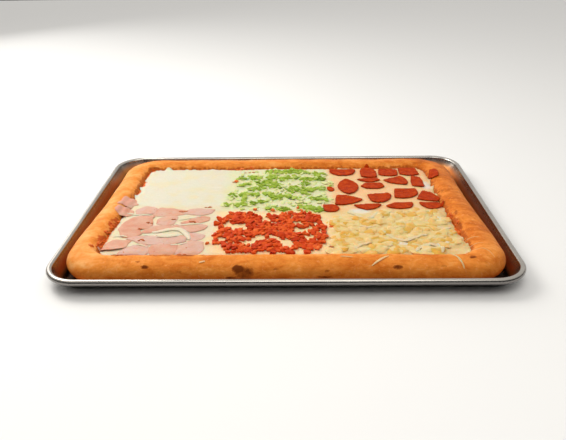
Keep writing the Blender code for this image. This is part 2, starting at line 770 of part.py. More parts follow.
def grid_places(rng, corners, spacing, holes=()):
    """Places in staggered rows inside an outline, each shaken off its row a little."""
    places = []
    low_x = min(corner[0] for corner in corners)
    high_x = max(corner[0] for corner in corners)
    low_y = min(corner[1] for corner in corners)
    high_y = max(corner[1] for corner in corners)
    row_step = spacing * ROW_SHARE
    rows = int((high_y - low_y) / row_step)
    columns = int((high_x - low_x) / spacing) + 1
    for row in range(rows + 1):
        for column in range(columns + 1):
            x = low_x + (column + 0.5 * (row % 2) + rng.uniform(-SHAKE, SHAKE)) * spacing
            y = low_y + row * row_step + rng.uniform(-SHAKE, SHAKE) * spacing
            in_hole = any(math.hypot(x - a, y - b) < reach for a, b, reach in holes)
            if inside((x, y), corners) and not in_hole:
                places.append((x, y))
    return places


def clear_of(places, reach, outlines):
    """Drop the places that lie on other pieces or nearer to them than the reach."""
    kept = []
    for x, y in places:
        point = Vector((x, y)) * MM
        near = False
        for outline in outlines:
            for start, end in zip(outline, outline[1:] + outline[:1]):
                foot, share = intersect_point_line(point, start, end)
                foot = start.lerp(end, min(max(share, 0.0), 1.0))
                near = near or (point - foot).length < reach * MM
        if not near:
            kept.append((x, y))
    return kept


def build_heap(name, corners, places, size, rise, seed, height_at, material):
    """A heap of small pieces as one solid: a bed with every piece fused to it."""
    rng = random.Random(seed)
    core = heap_core(name, corners, height_at, material)
    bed_top = surface_reader([core])
    pieces = []
    for x, y in places:
        scale = size * rng.uniform(*PIECE_SCALE)
        bottom = bed_top(x * MM, y * MM) - HEAP_CORE_THICK / 2
        pieces.append(chunk(rng, x * MM, y * MM, bottom, scale, rise, material))
    boolean(core, pieces, "UNION")
    return core


def main():
    clear_scene()
    steel = make_material("pan_metal", srgb(190, 187, 178), 0.35, 1.0)
    bread = make_material("crust", srgb(224, 138, 62), 0.6)
    red_sauce = make_material("sauce", srgb(196, 74, 28), 0.4)
    melted = make_material("cheese", srgb(238, 226, 196), 0.4)
    pepper = make_material("green_pepper", srgb(146, 172, 66), 0.45)
    diced = make_material("diced_pepperoni", srgb(206, 72, 34), 0.45)
    gold = make_material("pineapple", srgb(234, 196, 116), 0.4)
    sausage = make_material("pepperoni", srgb(200, 58, 26), 0.4)
    pink = make_material("ham", srgb(230, 178, 158), 0.45)

    build_pan(steel)
    crust = build_crust(bread)
    finish_crust(crust, bread)
    build_sauce(red_sauce)
    cheese = build_cheese(crust, melted)
    baked_height = surface_reader([crust, cheese])

    def height_at(x, y):
        level = CHEESE_TOP + cheese_wave(x, y)
        climb = max(baked_height(x, y) - level, 0.0)
        return level + climb * (1 + CLIMB_LIFT)

    slices = build_pepperoni(height_at, sausage) + build_ham(height_at, pink)

    places = clear_of(stroke_places(random.Random(7)), PEPPER_CLEAR, slices)
    build_heap("green_pepper", PEPPER_FIELD, places, PEPPER_SIZE, PEPPER_HEIGHT, 11,
               height_at, pepper)
    places = grid_places(random.Random(5), DICED_FIELD, DICED_SPACING, DICED_HOLES)
    places = clear_of(places, DICED_CLEAR, slices)
    build_heap("diced_pepperoni", DICED_FIELD, places, DICED_SIZE, DICED_HEIGHT, 13,
               height_at, diced)
    places = grid_places(random.Random(9), PINEAPPLE_FIELD, PINEAPPLE_SPACING,
                         PINEAPPLE_HOLES)
    places = clear_of(places, PINEAPPLE_CLEAR, slices)
    build_heap("pineapple", PINEAPPLE_FIELD, places, PINEAPPLE_SIZE, PINEAPPLE_HEIGHT, 17,
               height_at, gold)


main()
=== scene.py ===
# %% [markdown]
# # A combination pizza in its sheet pan
# The pizza is a rectangle of thick bread with six sections of topping, still in the
# metal pan that it was baked in. The solid model gives every size and place. This
# lesson adds what a baker would see: the rolled rim of the pan, the puffed crust with
# its brown bubbles, melted cheese, and pieces of meat, pepper and fruit that differ
# from one another. Each step says how the piece is made, and why that way suits it.

# %% Load the solid model and keep its box
import json
import math
import random

import bmesh
import bpy
from mathutils import Matrix, Vector, noise
from mathutils.bvhtree import BVHTree
from mathutils.kdtree import KDTree

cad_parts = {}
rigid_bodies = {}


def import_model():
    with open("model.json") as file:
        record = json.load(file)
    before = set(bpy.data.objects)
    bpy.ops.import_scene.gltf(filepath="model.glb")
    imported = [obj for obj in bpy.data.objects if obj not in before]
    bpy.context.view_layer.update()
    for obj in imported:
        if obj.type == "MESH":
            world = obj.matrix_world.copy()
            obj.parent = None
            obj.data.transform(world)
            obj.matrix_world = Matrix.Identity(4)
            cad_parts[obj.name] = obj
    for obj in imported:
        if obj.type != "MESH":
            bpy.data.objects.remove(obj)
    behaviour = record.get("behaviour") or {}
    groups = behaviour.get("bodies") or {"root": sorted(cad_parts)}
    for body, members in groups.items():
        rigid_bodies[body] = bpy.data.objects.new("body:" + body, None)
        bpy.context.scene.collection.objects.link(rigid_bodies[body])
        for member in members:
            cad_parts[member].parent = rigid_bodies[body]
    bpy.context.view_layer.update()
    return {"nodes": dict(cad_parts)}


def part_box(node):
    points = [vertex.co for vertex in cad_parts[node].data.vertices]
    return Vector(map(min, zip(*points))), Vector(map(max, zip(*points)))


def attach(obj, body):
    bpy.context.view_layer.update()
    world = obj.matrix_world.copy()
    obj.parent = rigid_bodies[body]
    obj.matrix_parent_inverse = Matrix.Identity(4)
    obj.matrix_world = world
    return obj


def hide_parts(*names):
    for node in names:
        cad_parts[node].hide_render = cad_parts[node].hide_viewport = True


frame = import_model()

MM = 0.001
print("nodes in the solid model:", len(frame["nodes"]))

# %% [markdown]
# ## The camera
# A picture with straight lines in it, such as the rim of a pan, can be matched by
# fitting a camera to those lines. The fit gave a place in front of the pan and a look
# down of about 27 degrees. The camera's own axes are set straight from the fitted
# directions, because that keeps the small turns that a look-at rule would lose.

# %% Place the camera
PHOTO_WIDTH, PHOTO_HEIGHT = 566, 440
FOCAL_PIXELS = 603.9
SENSOR_WIDTH = 36.0
EYE = Vector((0.0137, -0.8971, 0.4543))
LOOK = Vector((-0.0183, 0.8916, -0.4525)).normalized()
FITTED_UP = Vector((0.0056, 0.4527, 0.8916))
SIDEWAYS = LOOK.cross(FITTED_UP).normalized()
UPWARDS = SIDEWAYS.cross(LOOK)


def add_object(name, data):
    """Put an object that shows some data into the scene."""
    item = bpy.data.objects.new(name, data)
    bpy.context.scene.collection.objects.link(item)
    return item


camera_data = bpy.data.cameras.new("camera")
camera_data.sensor_width = SENSOR_WIDTH
camera_data.lens = FOCAL_PIXELS * SENSOR_WIDTH / PHOTO_WIDTH
camera = add_object("camera", camera_data)
camera.matrix_world = Matrix((SIDEWAYS, UPWARDS, -LOOK)).transposed().to_4x4()
camera.matrix_world.translation = EYE
bpy.context.scene.camera = camera
print("lens:", round(camera_data.lens, 2), "mm")

# %% [markdown]
# ## Tools for materials
# Every finish here is worked out by nodes. A finish holds a node tree, and each of its
# methods adds a node, links what is handed to it and gives back the socket that
# matters, so that a recipe reads as a few lines. Patterns read Object coordinates, in
# metres: a noise scale of 100 has swells about a centimetre apart.

# %% Write the node helpers
WARM = (1.0, 0.62, 0.36, 1.0)


def srgb(code):
    """A colour written as six hexadecimal digits, as the linear values a shader takes."""
    linear = []
    for start in (0, 2, 4):
        share = int(code[start:start + 2], 16) / 255
        linear.append(share / 12.92 if share <= 0.04045 else ((share + 0.055) / 1.055) ** 2.4)
    return (*linear, 1.0)


class Finish:
    """A node tree in the making."""

    def __init__(self, owner, **constants):
        owner.use_nodes = True
        self.owner, self.tree = owner, owner.node_tree
        for name, value in constants.items():
            self.set(name.replace("_", " "), value)

    def feed(self, socket, value):
        """Link a socket to an input, or set the input's value."""
        if isinstance(value, bpy.types.NodeSocket):
            self.tree.links.new(value, socket)
        else:
            socket.default_value = value

    def set(self, name, value, shader="Principled BSDF"):
        """Feed one of the shader's own inputs."""
        self.feed(self.tree.nodes[shader].inputs[name], value)

    def node(self, kind, inputs, **settings):
        """Add a node, set it up, feed its inputs and give back its outputs."""
        item = self.tree.nodes.new("ShaderNode" + kind)
        for name, value in settings.items():
            setattr(item, name, value)
        for key, value in inputs.items():
            self.feed(item.inputs[key], value)
        return item.outputs

    def grain(self, scale, detail=3.0, roughness=0.55, distortion=0.0, stretch=(1, 1, 1)):
        """Noise in Object coordinates, from 0 to 1."""
        place = self.node("TexCoord", {})["Object"]
        place = self.node("Mapping", {"Vector": place, "Scale": stretch})["Vector"]
        return self.node("TexNoise", {"Vector": place, "Scale": scale, "Detail": detail,
                                      "Roughness": roughness, "Distortion": distortion})["Fac"]

    def attribute(self, name, output="Fac"):
        """A value or colour that the mesh carries on its points."""
        return self.node("Attribute", {}, attribute_name=name)[output]

    def sums(self, operation, first, second):
        """One step of arithmetic."""
        return self.node("Math", {0: first, 1: second}, operation=operation)["Value"]

    def plus(self, first, second):
        return self.sums("ADD", first, second)

    def times(self, first, second):
        return self.sums("MULTIPLY", first, second)

    def wobble(self, noise_value, amount):
        """Noise that swings evenly round zero."""
        return self.times(self.sums("SUBTRACT", noise_value, 0.5), amount)

    def mottled(self, name, noise_value, amount):
        """A value from the mesh, made uneven by noise."""
        return self.plus(self.attribute(name), self.wobble(noise_value, amount))

    def step(self, factor, low, high):
        """A smooth rise from 0 to 1 between two values of a factor."""
        inputs = {"Value": factor, "From Min": low, "From Max": high}
        return self.node("MapRange", inputs, interpolation_type="SMOOTHSTEP")["Result"]

    def ramp(self, factor, *stops):
        """Colours along a factor: each stop is a place from 0 to 1 and a colour."""
        item = self.tree.nodes.new("ShaderNodeValToRGB")
        elements = item.color_ramp.elements
        while len(elements) < len(stops):
            elements.new(0.5)
        for element, (place, colour) in zip(elements, stops):
            element.position = place
            element.color = srgb(colour) if isinstance(colour, str) else colour
        self.feed(item.inputs["Fac"], factor)
        return item.outputs["Color"]

    def cover(self, base, code, factor, share=1):
        """Lay a share of a colour over a base, where a factor says."""
        if share != 1:
            factor = self.times(factor, share)
        return self.node("Mix", {0: factor, 6: base, 7: srgb(code)}, data_type="RGBA")[2]

    def done(self, colour, *relief):
        """Link the colour and the relief: each layer is a height and its depth in metres."""
        self.set("Base Color", colour)
        normal = {}
        for height, depth in relief:
            inputs = {"Height": height, "Distance": depth, "Strength": 1.0, **normal}
            normal = {"Normal": self.node("Bump", inputs)["Normal"]}
        self.set("Normal", normal["Normal"])
        return self.owner


def moist(name, roughness, softness, depth, gloss):
    """The start of a food's finish: light sinks in a little, and the gloss is warm."""
    return Finish(bpy.data.materials.new(name), Roughness=roughness,
                  Subsurface_Weight=softness, Subsurface_Scale=depth,
                  Specular_IOR_Level=gloss, Specular_Tint=WARM)


# %% [markdown]
# ## Light and floor
# A studio lights food with one large soft lamp, high at one side, and lets pale
# surroundings fill the shadows. Here the lamp stands at the left and a little behind,
# so the crust's left side is bright and the gap at the right is dark. The floor is
# plain and pale, and it isn't part of the pizza.

# %% Set the lights and the floor
FLOOR_DROP = 0.4 * MM


def area_lamp(name, place, size, power, colour):
    """A soft square lamp that faces the middle of the pizza."""
    lamp = bpy.data.lights.new(name, "AREA")
    lamp.size, lamp.energy, lamp.color = size, power, colour
    item = add_object(name, lamp)
    item.location = place
    item.rotation_euler = (-Vector(place)).to_track_quat("-Z", "Y").to_euler()


def to_mesh(name, bm):
    """Turn a bmesh into a mesh and let the bmesh go."""
    mesh = bpy.data.meshes.new(name)
    bm.to_mesh(mesh)
    bm.free()
    return mesh


world = bpy.data.worlds.new("pale studio")
sky = Finish(world)
direction = sky.node("SeparateXYZ", {0: sky.node("TexCoord", {})["Generated"]})
lit = sky.plus(direction["Z"], sky.times(direction["Y"], 0.45))
glow = sky.ramp(lit, (0.0, (0.05, 0.05, 0.055, 1)), (0.34, (0.15, 0.145, 0.14, 1)),
                (0.58, (0.86, 0.84, 0.81, 1)))
sky.set("Color", glow, "Background")
sky.set("Strength", 0.95, "Background")
bpy.context.scene.world = world
bpy.context.scene.view_settings.view_transform = "Standard"

area_lamp("key", (-0.85, 0.45, 1.15), 0.7, 12, (1.0, 0.97, 0.92))
area_lamp("fill", (0.1, -0.75, 1.5), 1.0, 6.5, (1.0, 0.97, 0.93))
area_lamp("back", (-1.3, 1.35, 0.8), 1.1, 6, (1.0, 0.98, 0.95))

bm = bmesh.new()
bmesh.ops.create_grid(bm, x_segments=1, y_segments=1, size=3.0)
bmesh.ops.translate(bm, vec=(0, 0, -FLOOR_DROP), verts=bm.verts)
floor = add_object("floor", to_mesh("floor", bm))
floor_paint = Finish(bpy.data.materials.new("floor"), Base_Color=(0.86, 0.86, 0.85, 1),
                     Roughness=0.9)
floor.data.materials.append(floor_paint.owner)
print("lamps and floor set")

# %% [markdown]
# ## Tools for meshes
# Every piece is built in a bmesh and handed over in one call, which smooths it, puts
# it on the body of the solid model, gives it its finish and hides the plain solid that
# it stands for.

# %% Write the mesh helpers
def add_piece(name, bm, material, replaced=(), sharp=50):
    """Turn a bmesh into a finished piece of the pizza."""
    mesh = to_mesh(name, bm)
    mesh.materials.append(material)
    mesh.shade_smooth()
    if sharp:
        mesh.set_sharp_from_angle(angle=math.radians(sharp))
    item = add_object(name, mesh)
    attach(item, "root")
    if replaced:
        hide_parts(*replaced)
    return item


def paint(bm, name, value_at):
    """Write a value on every point, for a material to read by its name."""
    layer = bm.verts.layers.float.new(name)
    for vert in bm.verts:
        vert[layer] = value_at(vert)


def rise(value, low, high):
    """A smooth rise from 0 to 1 as a value goes from low to high."""
    share = min(max((value - low) / (high - low), 0.0), 1.0)
    return share * share * (3 - 2 * share)


def swell(x, y, size, seed):
    """A smooth random value from about -1 to 1, with swells about a size apart."""
    return noise.noise(Vector((x / size, y / size, seed)))


def rounded_rectangle(left, right, front, back, radius, corner_steps, long_steps, short_steps):
    """Points round a rounded rectangle, anticlockwise from the front side's right end."""
    corners = (
        (right - radius, front + radius, -90),
        (right - radius, back - radius, 0),
        (left + radius, back - radius, 90),
        (left + radius, front + radius, 180),
    )
    points = []
    for index, (x, y, start) in enumerate(corners):
        arc = []
        for number in range(corner_steps + 1):
            angle = math.radians(start + 90 * number / corner_steps)
            arc.append(Vector((x + radius * math.cos(angle), y + radius * math.sin(angle))))
        if points:
            count = short_steps if index % 2 else long_steps
            last = points[-1]
            points += [last.lerp(arc[0], number / count) for number in range(1, count)]
        points += arc
    last = points[-1]
    points += [last.lerp(points[0], number / long_steps) for number in range(1, long_steps)]
    return points


def bridge_rings(bm, rings):
    """Join rings of equal length into a skin and fill its two ends."""
    loops = [[bm.verts.new(point) for point in ring] for ring in rings]
    edges = []
    for loop in loops:
        edges.append([bm.edges.new((loop[i - 1], loop[i])) for i in range(len(loop))])
    for lower, upper in zip(edges, edges[1:]):
        bmesh.ops.bridge_loops(bm, edges=lower + upper)
    bm.faces.new(loops[0])
    bm.faces.new(loops[-1])
    bmesh.ops.recalc_face_normals(bm, faces=bm.faces[:])


# %% [markdown]
# ## The sheet pan
# A full-size bakery pan is pressed from one sheet of aluminium. Its walls lean out, and
# the top edge is rolled over a wire into a round bead. It could be a box with bevels,
# but a pressed pan is really one cross-section carried round a rounded rectangle, so
# it is made that way: rings of points, one for each step of the cross-section, bridged
# into a skin.

# %% Build the pan
PAN_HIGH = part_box("sheet_pan")[1]
PAN_SHEET = 1.2 * MM
PAN_CORNER = 0.050
BEAD_RADIUS = 4.5 * MM
WALL_FLARE = 0.0182
FLOOR_FILLET = 4.0 * MM


def pan_ring(offset, height):
    """A ring of the pan, a given way out from the edge of its floor."""
    half_x = PAN_HIGH.x - WALL_FLARE - BEAD_RADIUS + offset
    half_y = PAN_HIGH.y - WALL_FLARE - BEAD_RADIUS + offset
    radius = PAN_CORNER - WALL_FLARE - BEAD_RADIUS + offset
    flat = rounded_rectangle(-half_x, half_x, -half_y, half_y, radius, 20, 24, 16)
    return [(point.x, point.y, height) for point in flat]


def pan_profile():
    """The pan's cross-section: inside floor, wall, bead, outside wall, underside."""
    bead_height = PAN_HIGH.z - BEAD_RADIUS
    profile = []
    for degrees in range(-90, -29, 10):
        angle = math.radians(degrees)
        profile.append((-FLOOR_FILLET + 1.4 * FLOOR_FILLET * math.cos(angle),
                        PAN_SHEET + 1.4 * FLOOR_FILLET * (1 + math.sin(angle))))
    for degrees in range(180, -150, -15):
        angle = math.radians(degrees)
        profile.append((WALL_FLARE + BEAD_RADIUS * math.cos(angle),
                        bead_height + BEAD_RADIUS * math.sin(angle)))
    profile += [
        (WALL_FLARE - 0.5 * BEAD_RADIUS, bead_height - 0.9 * BEAD_RADIUS),
        (0.35 * FLOOR_FILLET + 1.1 * PAN_SHEET, 0.85 * FLOOR_FILLET),
        (0.25 * FLOOR_FILLET, 0.25 * FLOOR_FILLET),
        (-0.5 * FLOOR_FILLET, 0.0),
    ]
    return profile


def pan_metal():
    """Worn aluminium: baked-on fat and a painted reflection of the crust brown the walls,
    painted shade blackens them low down, and painted shade greys the outside below the bead.
    """
    metal = Finish(bpy.data.materials.new("worn_aluminium"), Roughness=0.25, Metallic=1.0)
    fine = metal.grain(240, 4)
    colour = metal.ramp(metal.grain(14, 3), (0.3, "A5A09A"), (0.7, "BEB9B0"))
    share = metal.plus(metal.times(metal.step(fine, 0.1, 0.5), 0.3), 0.7)
    film = metal.times(metal.attribute("film"), share)
    # Orange-brown from baked-on fat and a painted reflection of the crust, then black as
    # painted shade low down beside the crust.
    colour = metal.cover(colour, "D28C4E", metal.step(film, 0.0, 0.6))
    colour = metal.cover(colour, "24140A", metal.step(film, 0.6, 1.0))
    # Painted shade: grey laid on the outside below the bead, standing for the dark reflection
    # there.
    colour = metal.cover(colour, "85817E", metal.attribute("dull"))
    rough = metal.plus(metal.times(fine, 0.2), 0.14)
    metal.set("Roughness", metal.plus(rough, metal.times(film, 0.3)))
    return metal.done(colour, (fine, 0.04 * MM))


def inside_depth(vert):
    """How far below the rim a point of the pan's inside lies, and 0 on its outside."""
    depth = PAN_HIGH.z - vert.co.z
    inward = -vert.normal.x * vert.co.x - vert.normal.y * vert.co.y
    return depth if vert.normal.z > 0 and inward > -0.02 and depth > 3 * MM else 0


def fat_and_painted_light_at(vert):
    """How brown and black the inside is: baked-on fat and a painted reflection of the crust
    from high up, painted shade low down.
    """
    depth = inside_depth(vert)
    start = 3 * MM if vert.co.x < 0.31 else 8 * MM
    return 0.6 * rise(depth, start, start + 7 * MM) + 0.4 * rise(depth, 15 * MM, 22 * MM)


def painted_shade_below_bead_at(vert):
    """How much the outside is darkened below its bead: painted shade for the dark reflection
    there.
    """
    return 0 if inside_depth(vert) else rise(PAN_HIGH.z - vert.co.z, 0.8 * MM, 3.5 * MM)


bm = bmesh.new()
bridge_rings(bm, [pan_ring(offset, height) for offset, height in pan_profile()])
bm.normal_update()
# Baked-on fat, with a painted reflection and painted shade, on the inside walls.
paint(bm, "film", fat_and_painted_light_at)
# Painted shade on the outside below the bead.
paint(bm, "dull", painted_shade_below_bead_at)
pan = add_piece("pan", bm, pan_metal(), ["sheet_pan"])
print("pan faces:", len(pan.data.polygons))

# %% [markdown]
# ## The crust
# Dough pressed into a pan swells most at its free edge, so the rim is a soft roll that
# is steeper outside than inside. One cross-section of the roll is carried between two
# outlines, the edge of the bread and the edge of the topped field. The rows of the
# cross-section are joined by a smooth curve. Slow noise moves the edge and the crest,
# finer noise wrinkles the inner slope, and each bubble is a small rounded rise.

# %% Shape the crust
CRUST_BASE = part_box("crust")[0].z
CRUST_SIDES = (-0.3100, 0.3105, -0.2110, 0.2010, 0.058)
FIELD_SIDES = (-0.2680, 0.2640, -0.1720, 0.1550, 0.024)
LEFT_TAPER, RIGHT_TAPER = 0.0105, 0.0085
CREST_HEIGHT = 0.0386
BACK_SINK = 2.2 * MM
EDGE_WAVE = 1.4 * MM
CREST_WAVE = 1.3 * MM
WRINKLE = 1.1 * MM
FIELD_FLOOR = 0.0245
FLOOR_SHARE = 1.14
RIM_PROFILE = (
    (0.32, 0.000), (0.17, 0.100), (0.04, 0.280), (0.00, 0.500), (0.07, 0.710),
    (0.22, 0.870), (0.44, 0.965), (0.66, 1.000), (0.84, 0.940), (1.00, 0.790),
    (1.10, 0.610),
)
RIM_ROWS = [Vector(row) for row in (*RIM_PROFILE, (FLOOR_SHARE, FIELD_FLOOR / CREST_HEIGHT))]
RINGS = 46
BLISTERS = (
    (-55, -202, 16, 9, 2.6), (-190, -200, 8, 5, 1.8), (150, -202, 8, 5, 1.6),
    (-252, 160, 9, 6, 2.0),
)


def taper(point):
    """Draw the crust's sides in towards the back, as it shrank from the pan there."""
    share = rise(point.y, -0.15, 0.03)
    inward = LEFT_TAPER if point.x < 0 else -RIGHT_TAPER
    reach = min(abs(point.x) / 0.25, 1.0) ** 4
    return Vector((point.x + inward * share * reach, point.y))


def outline_pair(*steps):
    """The points of the crust's outline, each with its match on the field's edge."""
    outer = [taper(point) for point in rounded_rectangle(*CRUST_SIDES, *steps)]
    inner = [taper(point) for point in rounded_rectangle(*FIELD_SIDES, *steps)]
    return list(zip(outer, inner))


def edge_wave(outer, inner):
    """How far the crust's edge strays in or out at a point of its outline."""
    inward = (inner - outer).normalized()
    return inward * EDGE_WAVE * noise.noise(Vector((outer.x * 16, outer.y * 16, 3.1)))


def curve(before, start, end, after, share):
    """A point on the smooth curve from a start to an end, steered by their neighbours."""
    return 0.5 * (2 * start + (end - before) * share
                  + (2 * before - 5 * start + 4 * end - after) * share ** 2
                  + (3 * start - before - 3 * end + after) * share ** 3)


def on_curve(points, place):
    """A point on the smooth curve through some points, as a place in their list."""
    last = len(points) - 1
    index = min(int(place), last - 1)
    return curve(points[max(index - 1, 0)], points[index], points[index + 1],
                 points[min(index + 2, last)], place - index)


def oval(x, y, middle_x, middle_y, half_length, half_width):
    """How far out of an oval's middle a point lies, squared: 1 at its edge."""
    along, across = (x - middle_x) / half_length, (y - middle_y) / half_width
    return along * along + across * across


def crust_point(outer, inner, place):
    """A point of the crust's skin, so many rows of the cross-section from its foot."""
    share, height = on_curve(RIM_ROWS, place)
    point = outer.lerp(inner, share) + edge_wave(outer, inner)
    lift = noise.noise(Vector((outer.x * 11, outer.y * 11, 8.7)))
    crest = CREST_HEIGHT - BACK_SINK * rise(outer.y, 0.08, 0.18) + CREST_WAVE * lift * height
    z = CRUST_BASE + height * (crest - CRUST_BASE)
    slow, quick = swell(point.x, point.y, 0.030, 2.2), swell(point.x, point.y, 0.013, 6.4)
    z += (slow * 0.5 + quick * 0.25) * MM * rise(height, 0.3, 0.9)
    wrinkle = swell(point.x, point.y, 0.0085, 9.1) + 0.6 * swell(point.x, point.y, 0.0045, 4.0)
    z += wrinkle * WRINKLE * rise(share, 0.60, 1.0)
    for *mark, bubble in BLISTERS:
        dome = 1 - rise(oval(point.x / MM, point.y / MM, *mark), 0.0, 1.3)
        z += 0.55 * bubble * MM * dome * rise(height, 0.4, 0.8)
    return point.x, point.y, z


crust_outline = outline_pair(40, 190, 124)
places = [number * len(RIM_PROFILE) / RINGS for number in range(RINGS + 1)]
crust_bm = bmesh.new()
bridge_rings(crust_bm, [[crust_point(outer, inner, place) for outer, inner in crust_outline]
                        for place in places])
print("crust faces:", len(crust_bm.faces))

# %% [markdown]
# ## The crust's colour
# Bread browns where it is thin, high or near the hot pan, so its colour follows its
# shape. The mesh carries three values on its points: how far it is baked, with a
# painted highlight on the left and painted shade on the right worked in; where it has
# dark spots, among them painted shadow lines along the front inner edge; and where
# sauce has stained it. A fourth value is painted shade where the bread meets the
# topping. They are worked out from each point's place, and the material breaks their
# edges up with noise, which a value on points can't do finely enough by itself.

# %% Paint the crust's points
SAUCE_STAINS = (
    (-263, -76, 8, 22, 0.75), (-267, -130, 9, 18, 0.75), (-200, -170, 60, 3, 0.6),
    (-120, -170, 20, 3, 0.45), (200, -170, 44, 3, 0.5), (258, -60, 5, 24, 0.6),
    (258, -98, 5, 14, 0.6), (-90, 154, 24, 4, 0.5), (-20, 156, 60, 3, 0.4),
    (100, 156, 50, 3, 0.4), (-246, 150, 8, 6, 0.5),
)
# Dark marks in picture pixels: brown spots and streaks, and at about y 255 thin painted shadow
# lines where the topping meets the front crest.
SPOTS_AND_SHADOW_LINES = (
    (245, 273, 9, 6, 0.95), (238, 269, 6, 4, 1.35), (231, 278, 6, 1.5, 1.1),
    (145, 267, 4, 2.0, 1.15), (137, 262, 2.5, 1.0, 0.8), (180, 272, 5, 1.2, 0.5),
    (276, 269, 3, 1.5, 0.75), (327, 271, 3, 1.2, 0.75), (326, 277, 9, 1.5, 0.9),
    (398, 267, 5, 2.2, 1.15), (444, 266, 3, 1.2, 0.6), (473, 257, 3.5, 1.6, 0.95),
    (459, 220, 3.5, 3.0, 0.6), (89, 277, 5, 1.2, 0.5), (93, 238, 3, 1.8, 0.4),
    (154, 169, 6, 2.2, 0.9), (415, 163, 6, 1.0, 0.5), (300, 164, 10, 0.8, 0.35),
    (468, 251, 4, 2.0, 0.5), (463, 239, 2, 3.0, 0.5), (446, 190, 3, 4.0, 0.35),
    (185, 255.5, 9, 1.2, 0.9), (160, 255.5, 14, 1.0, 0.7), (128, 254.5, 10, 1.2, 0.7),
    (205, 255.5, 6, 0.9, 0.6), (428, 254.5, 12, 1.0, 0.6), (455, 252, 9, 1.5, 0.6),
    (385, 255, 12, 0.8, 0.4), (330, 255, 14, 0.8, 0.35), (270, 256, 18, 0.7, 0.35),
    (456, 212, 2, 3.0, 0.7), (460, 226, 2.5, 4, 0.8), (441, 191, 3, 2.5, 0.5),
    (184, 168, 14, 0.8, 0.55), (230, 167, 16, 0.7, 0.4), (141, 186, 2.5, 3, 0.6),
    (147, 179, 3, 2, 0.6), (464, 250, 2, 3, 0.6), (371, 167, 4, 0.9, 0.6),
)


def field_edge(share, *steps):
    """The field's outline at a share of the way in over the rim."""
    return [outer.lerp(inner, share) + edge_wave(outer, inner)
            for outer, inner in outline_pair(*steps)]


def search_tree(points):
    """A tree that finds the nearest of some points on the plane."""
    tree = KDTree(len(points))
    for index, (x, y) in enumerate(points):
        tree.insert((x, y, 0), index)
    tree.balance()
    return tree


def away(tree, x, y):
    """How far the nearest point of a search tree is."""
    return tree.find((x, y, 0))[2]


def picture_place(point):
    """Where a point shows in the picture, in its pixels from the top left."""
    arm = point - EYE
    scale = FOCAL_PIXELS / arm.dot(LOOK)
    return (PHOTO_WIDTH / 2 + arm.dot(SIDEWAYS) * scale,
            PHOTO_HEIGHT / 2 - arm.dot(UPWARDS) * scale)


def closeness(x, y, *mark):
    """1 at the middle of an oval mark, falling smoothly to 0 past its edge."""
    return 1 - rise(oval(x / MM, y / MM, *mark), 0.3, 1.8)


def browning_and_painted_light_at(vert):
    """How brown the bread is: low down, at the back and in patches, with a painted highlight on
    the left and painted shade on the right.
    """
    x, y, z = vert.co
    low = 1 - rise(z, 0.010, 0.034)
    front = 1 - rise(y, -0.21, -0.17)
    back = rise(y, 0.05, 0.19)
    # Painted highlight on the left and painted shade on the right: paler where the lamp at the
    # left lights the bread, browner on the far side.
    painted_highlight_left = rise(-x, 0.16, 0.30)
    right = rise(x, 0.18, 0.30) * rise(y, -0.22, -0.08)
    patch = 0.5 + 0.5 * swell(x, y, 0.05, 7.7)
    return (0.30 + 0.16 * low + 0.03 * front + 0.08 * back - 0.16 * painted_highlight_left + 0.20 * right
            + 0.16 * patch)


def spotted_and_shaded_at(vert):
    """How strong the strongest dark mark is, brown spot and painted shadow line alike, on the
    side that the picture shows.
    """
    if vert.normal.dot(EYE - vert.co) <= 0:
        return 0.0
    seen = picture_place(vert.co)
    return max(strength * (1 - rise(oval(*seen, *mark), 0.3, 1.9)) for *mark, strength in SPOTS_AND_SHADOW_LINES)


def stained_at(vert):
    """How strongly sauce has stained a point."""
    return max(strength * closeness(vert.co.x, vert.co.y, *mark)
               for *mark, strength in SAUCE_STAINS)


def bread():
    """Golden bread: soft, matt, mottled, brown in spots and stained at the topping, with
    painted light and shade.
    """
    crumb = moist("baked_bread", 0.55, 0.08, 0.004, 0.1)
    broad = crumb.grain(38, 5, 0.62, 0.3, (0.85, 1, 1.2))
    streaks = crumb.grain(85, 5, 0.65, 0.8, (0.5, 1, 1.4))
    pores = crumb.grain(230, 4, 0.7)
    uneven = crumb.plus(crumb.wobble(broad, 1.0), crumb.wobble(streaks, 0.9))
    colour = crumb.ramp(crumb.plus(crumb.attribute("baked"), uneven), (0.0, "F4AE66"),
                        (0.32, "E88E3A"), (0.62, "D06E20"), (1.0, "9C4A12"))
    colour = crumb.cover(colour, "C06A26", crumb.step(pores, 0.52, 0.75), 0.45)
    colour = crumb.cover(colour, "F6BC80", crumb.step(pores, 0.46, 0.25), 0.35)
    # Brown spots, and painted shadow lines along the front inner edge.
    spots_and_shadow_lines = crumb.mottled("spotted", crumb.grain(170, 4), 1.3)
    colour = crumb.cover(colour, "AE5A1E", crumb.step(spots_and_shadow_lines, 0.30, 0.85))
    colour = crumb.cover(colour, "78380F", crumb.step(spots_and_shadow_lines, 0.75, 1.15))
    # Painted shade: the bread darkens within a centimetre of where it meets the topping.
    topping_edge_shade = crumb.mottled("edged", crumb.grain(140, 4), 1.8)
    colour = crumb.cover(colour, "A94E16", crumb.step(topping_edge_shade, 0.50, 0.95), 0.85)
    stain = crumb.mottled("stained", crumb.grain(120, 4), 1.6)
    colour = crumb.cover(colour, "C24C18", crumb.step(stain, 0.45, 0.85), 0.9)
    return crumb.done(colour, (broad, 1.2 * MM), (streaks, 0.6 * MM),
                      (crumb.grain(420, 4), 0.25 * MM))


field_tree = search_tree(field_edge(1.04, 16, 60, 40))
crust_bm.normal_update()
# The baked value also carries a painted highlight on the left and painted shade on the right.
paint(crust_bm, "baked", browning_and_painted_light_at)
paint(crust_bm, "spotted", spotted_and_shaded_at)
paint(crust_bm, "stained", stained_at)
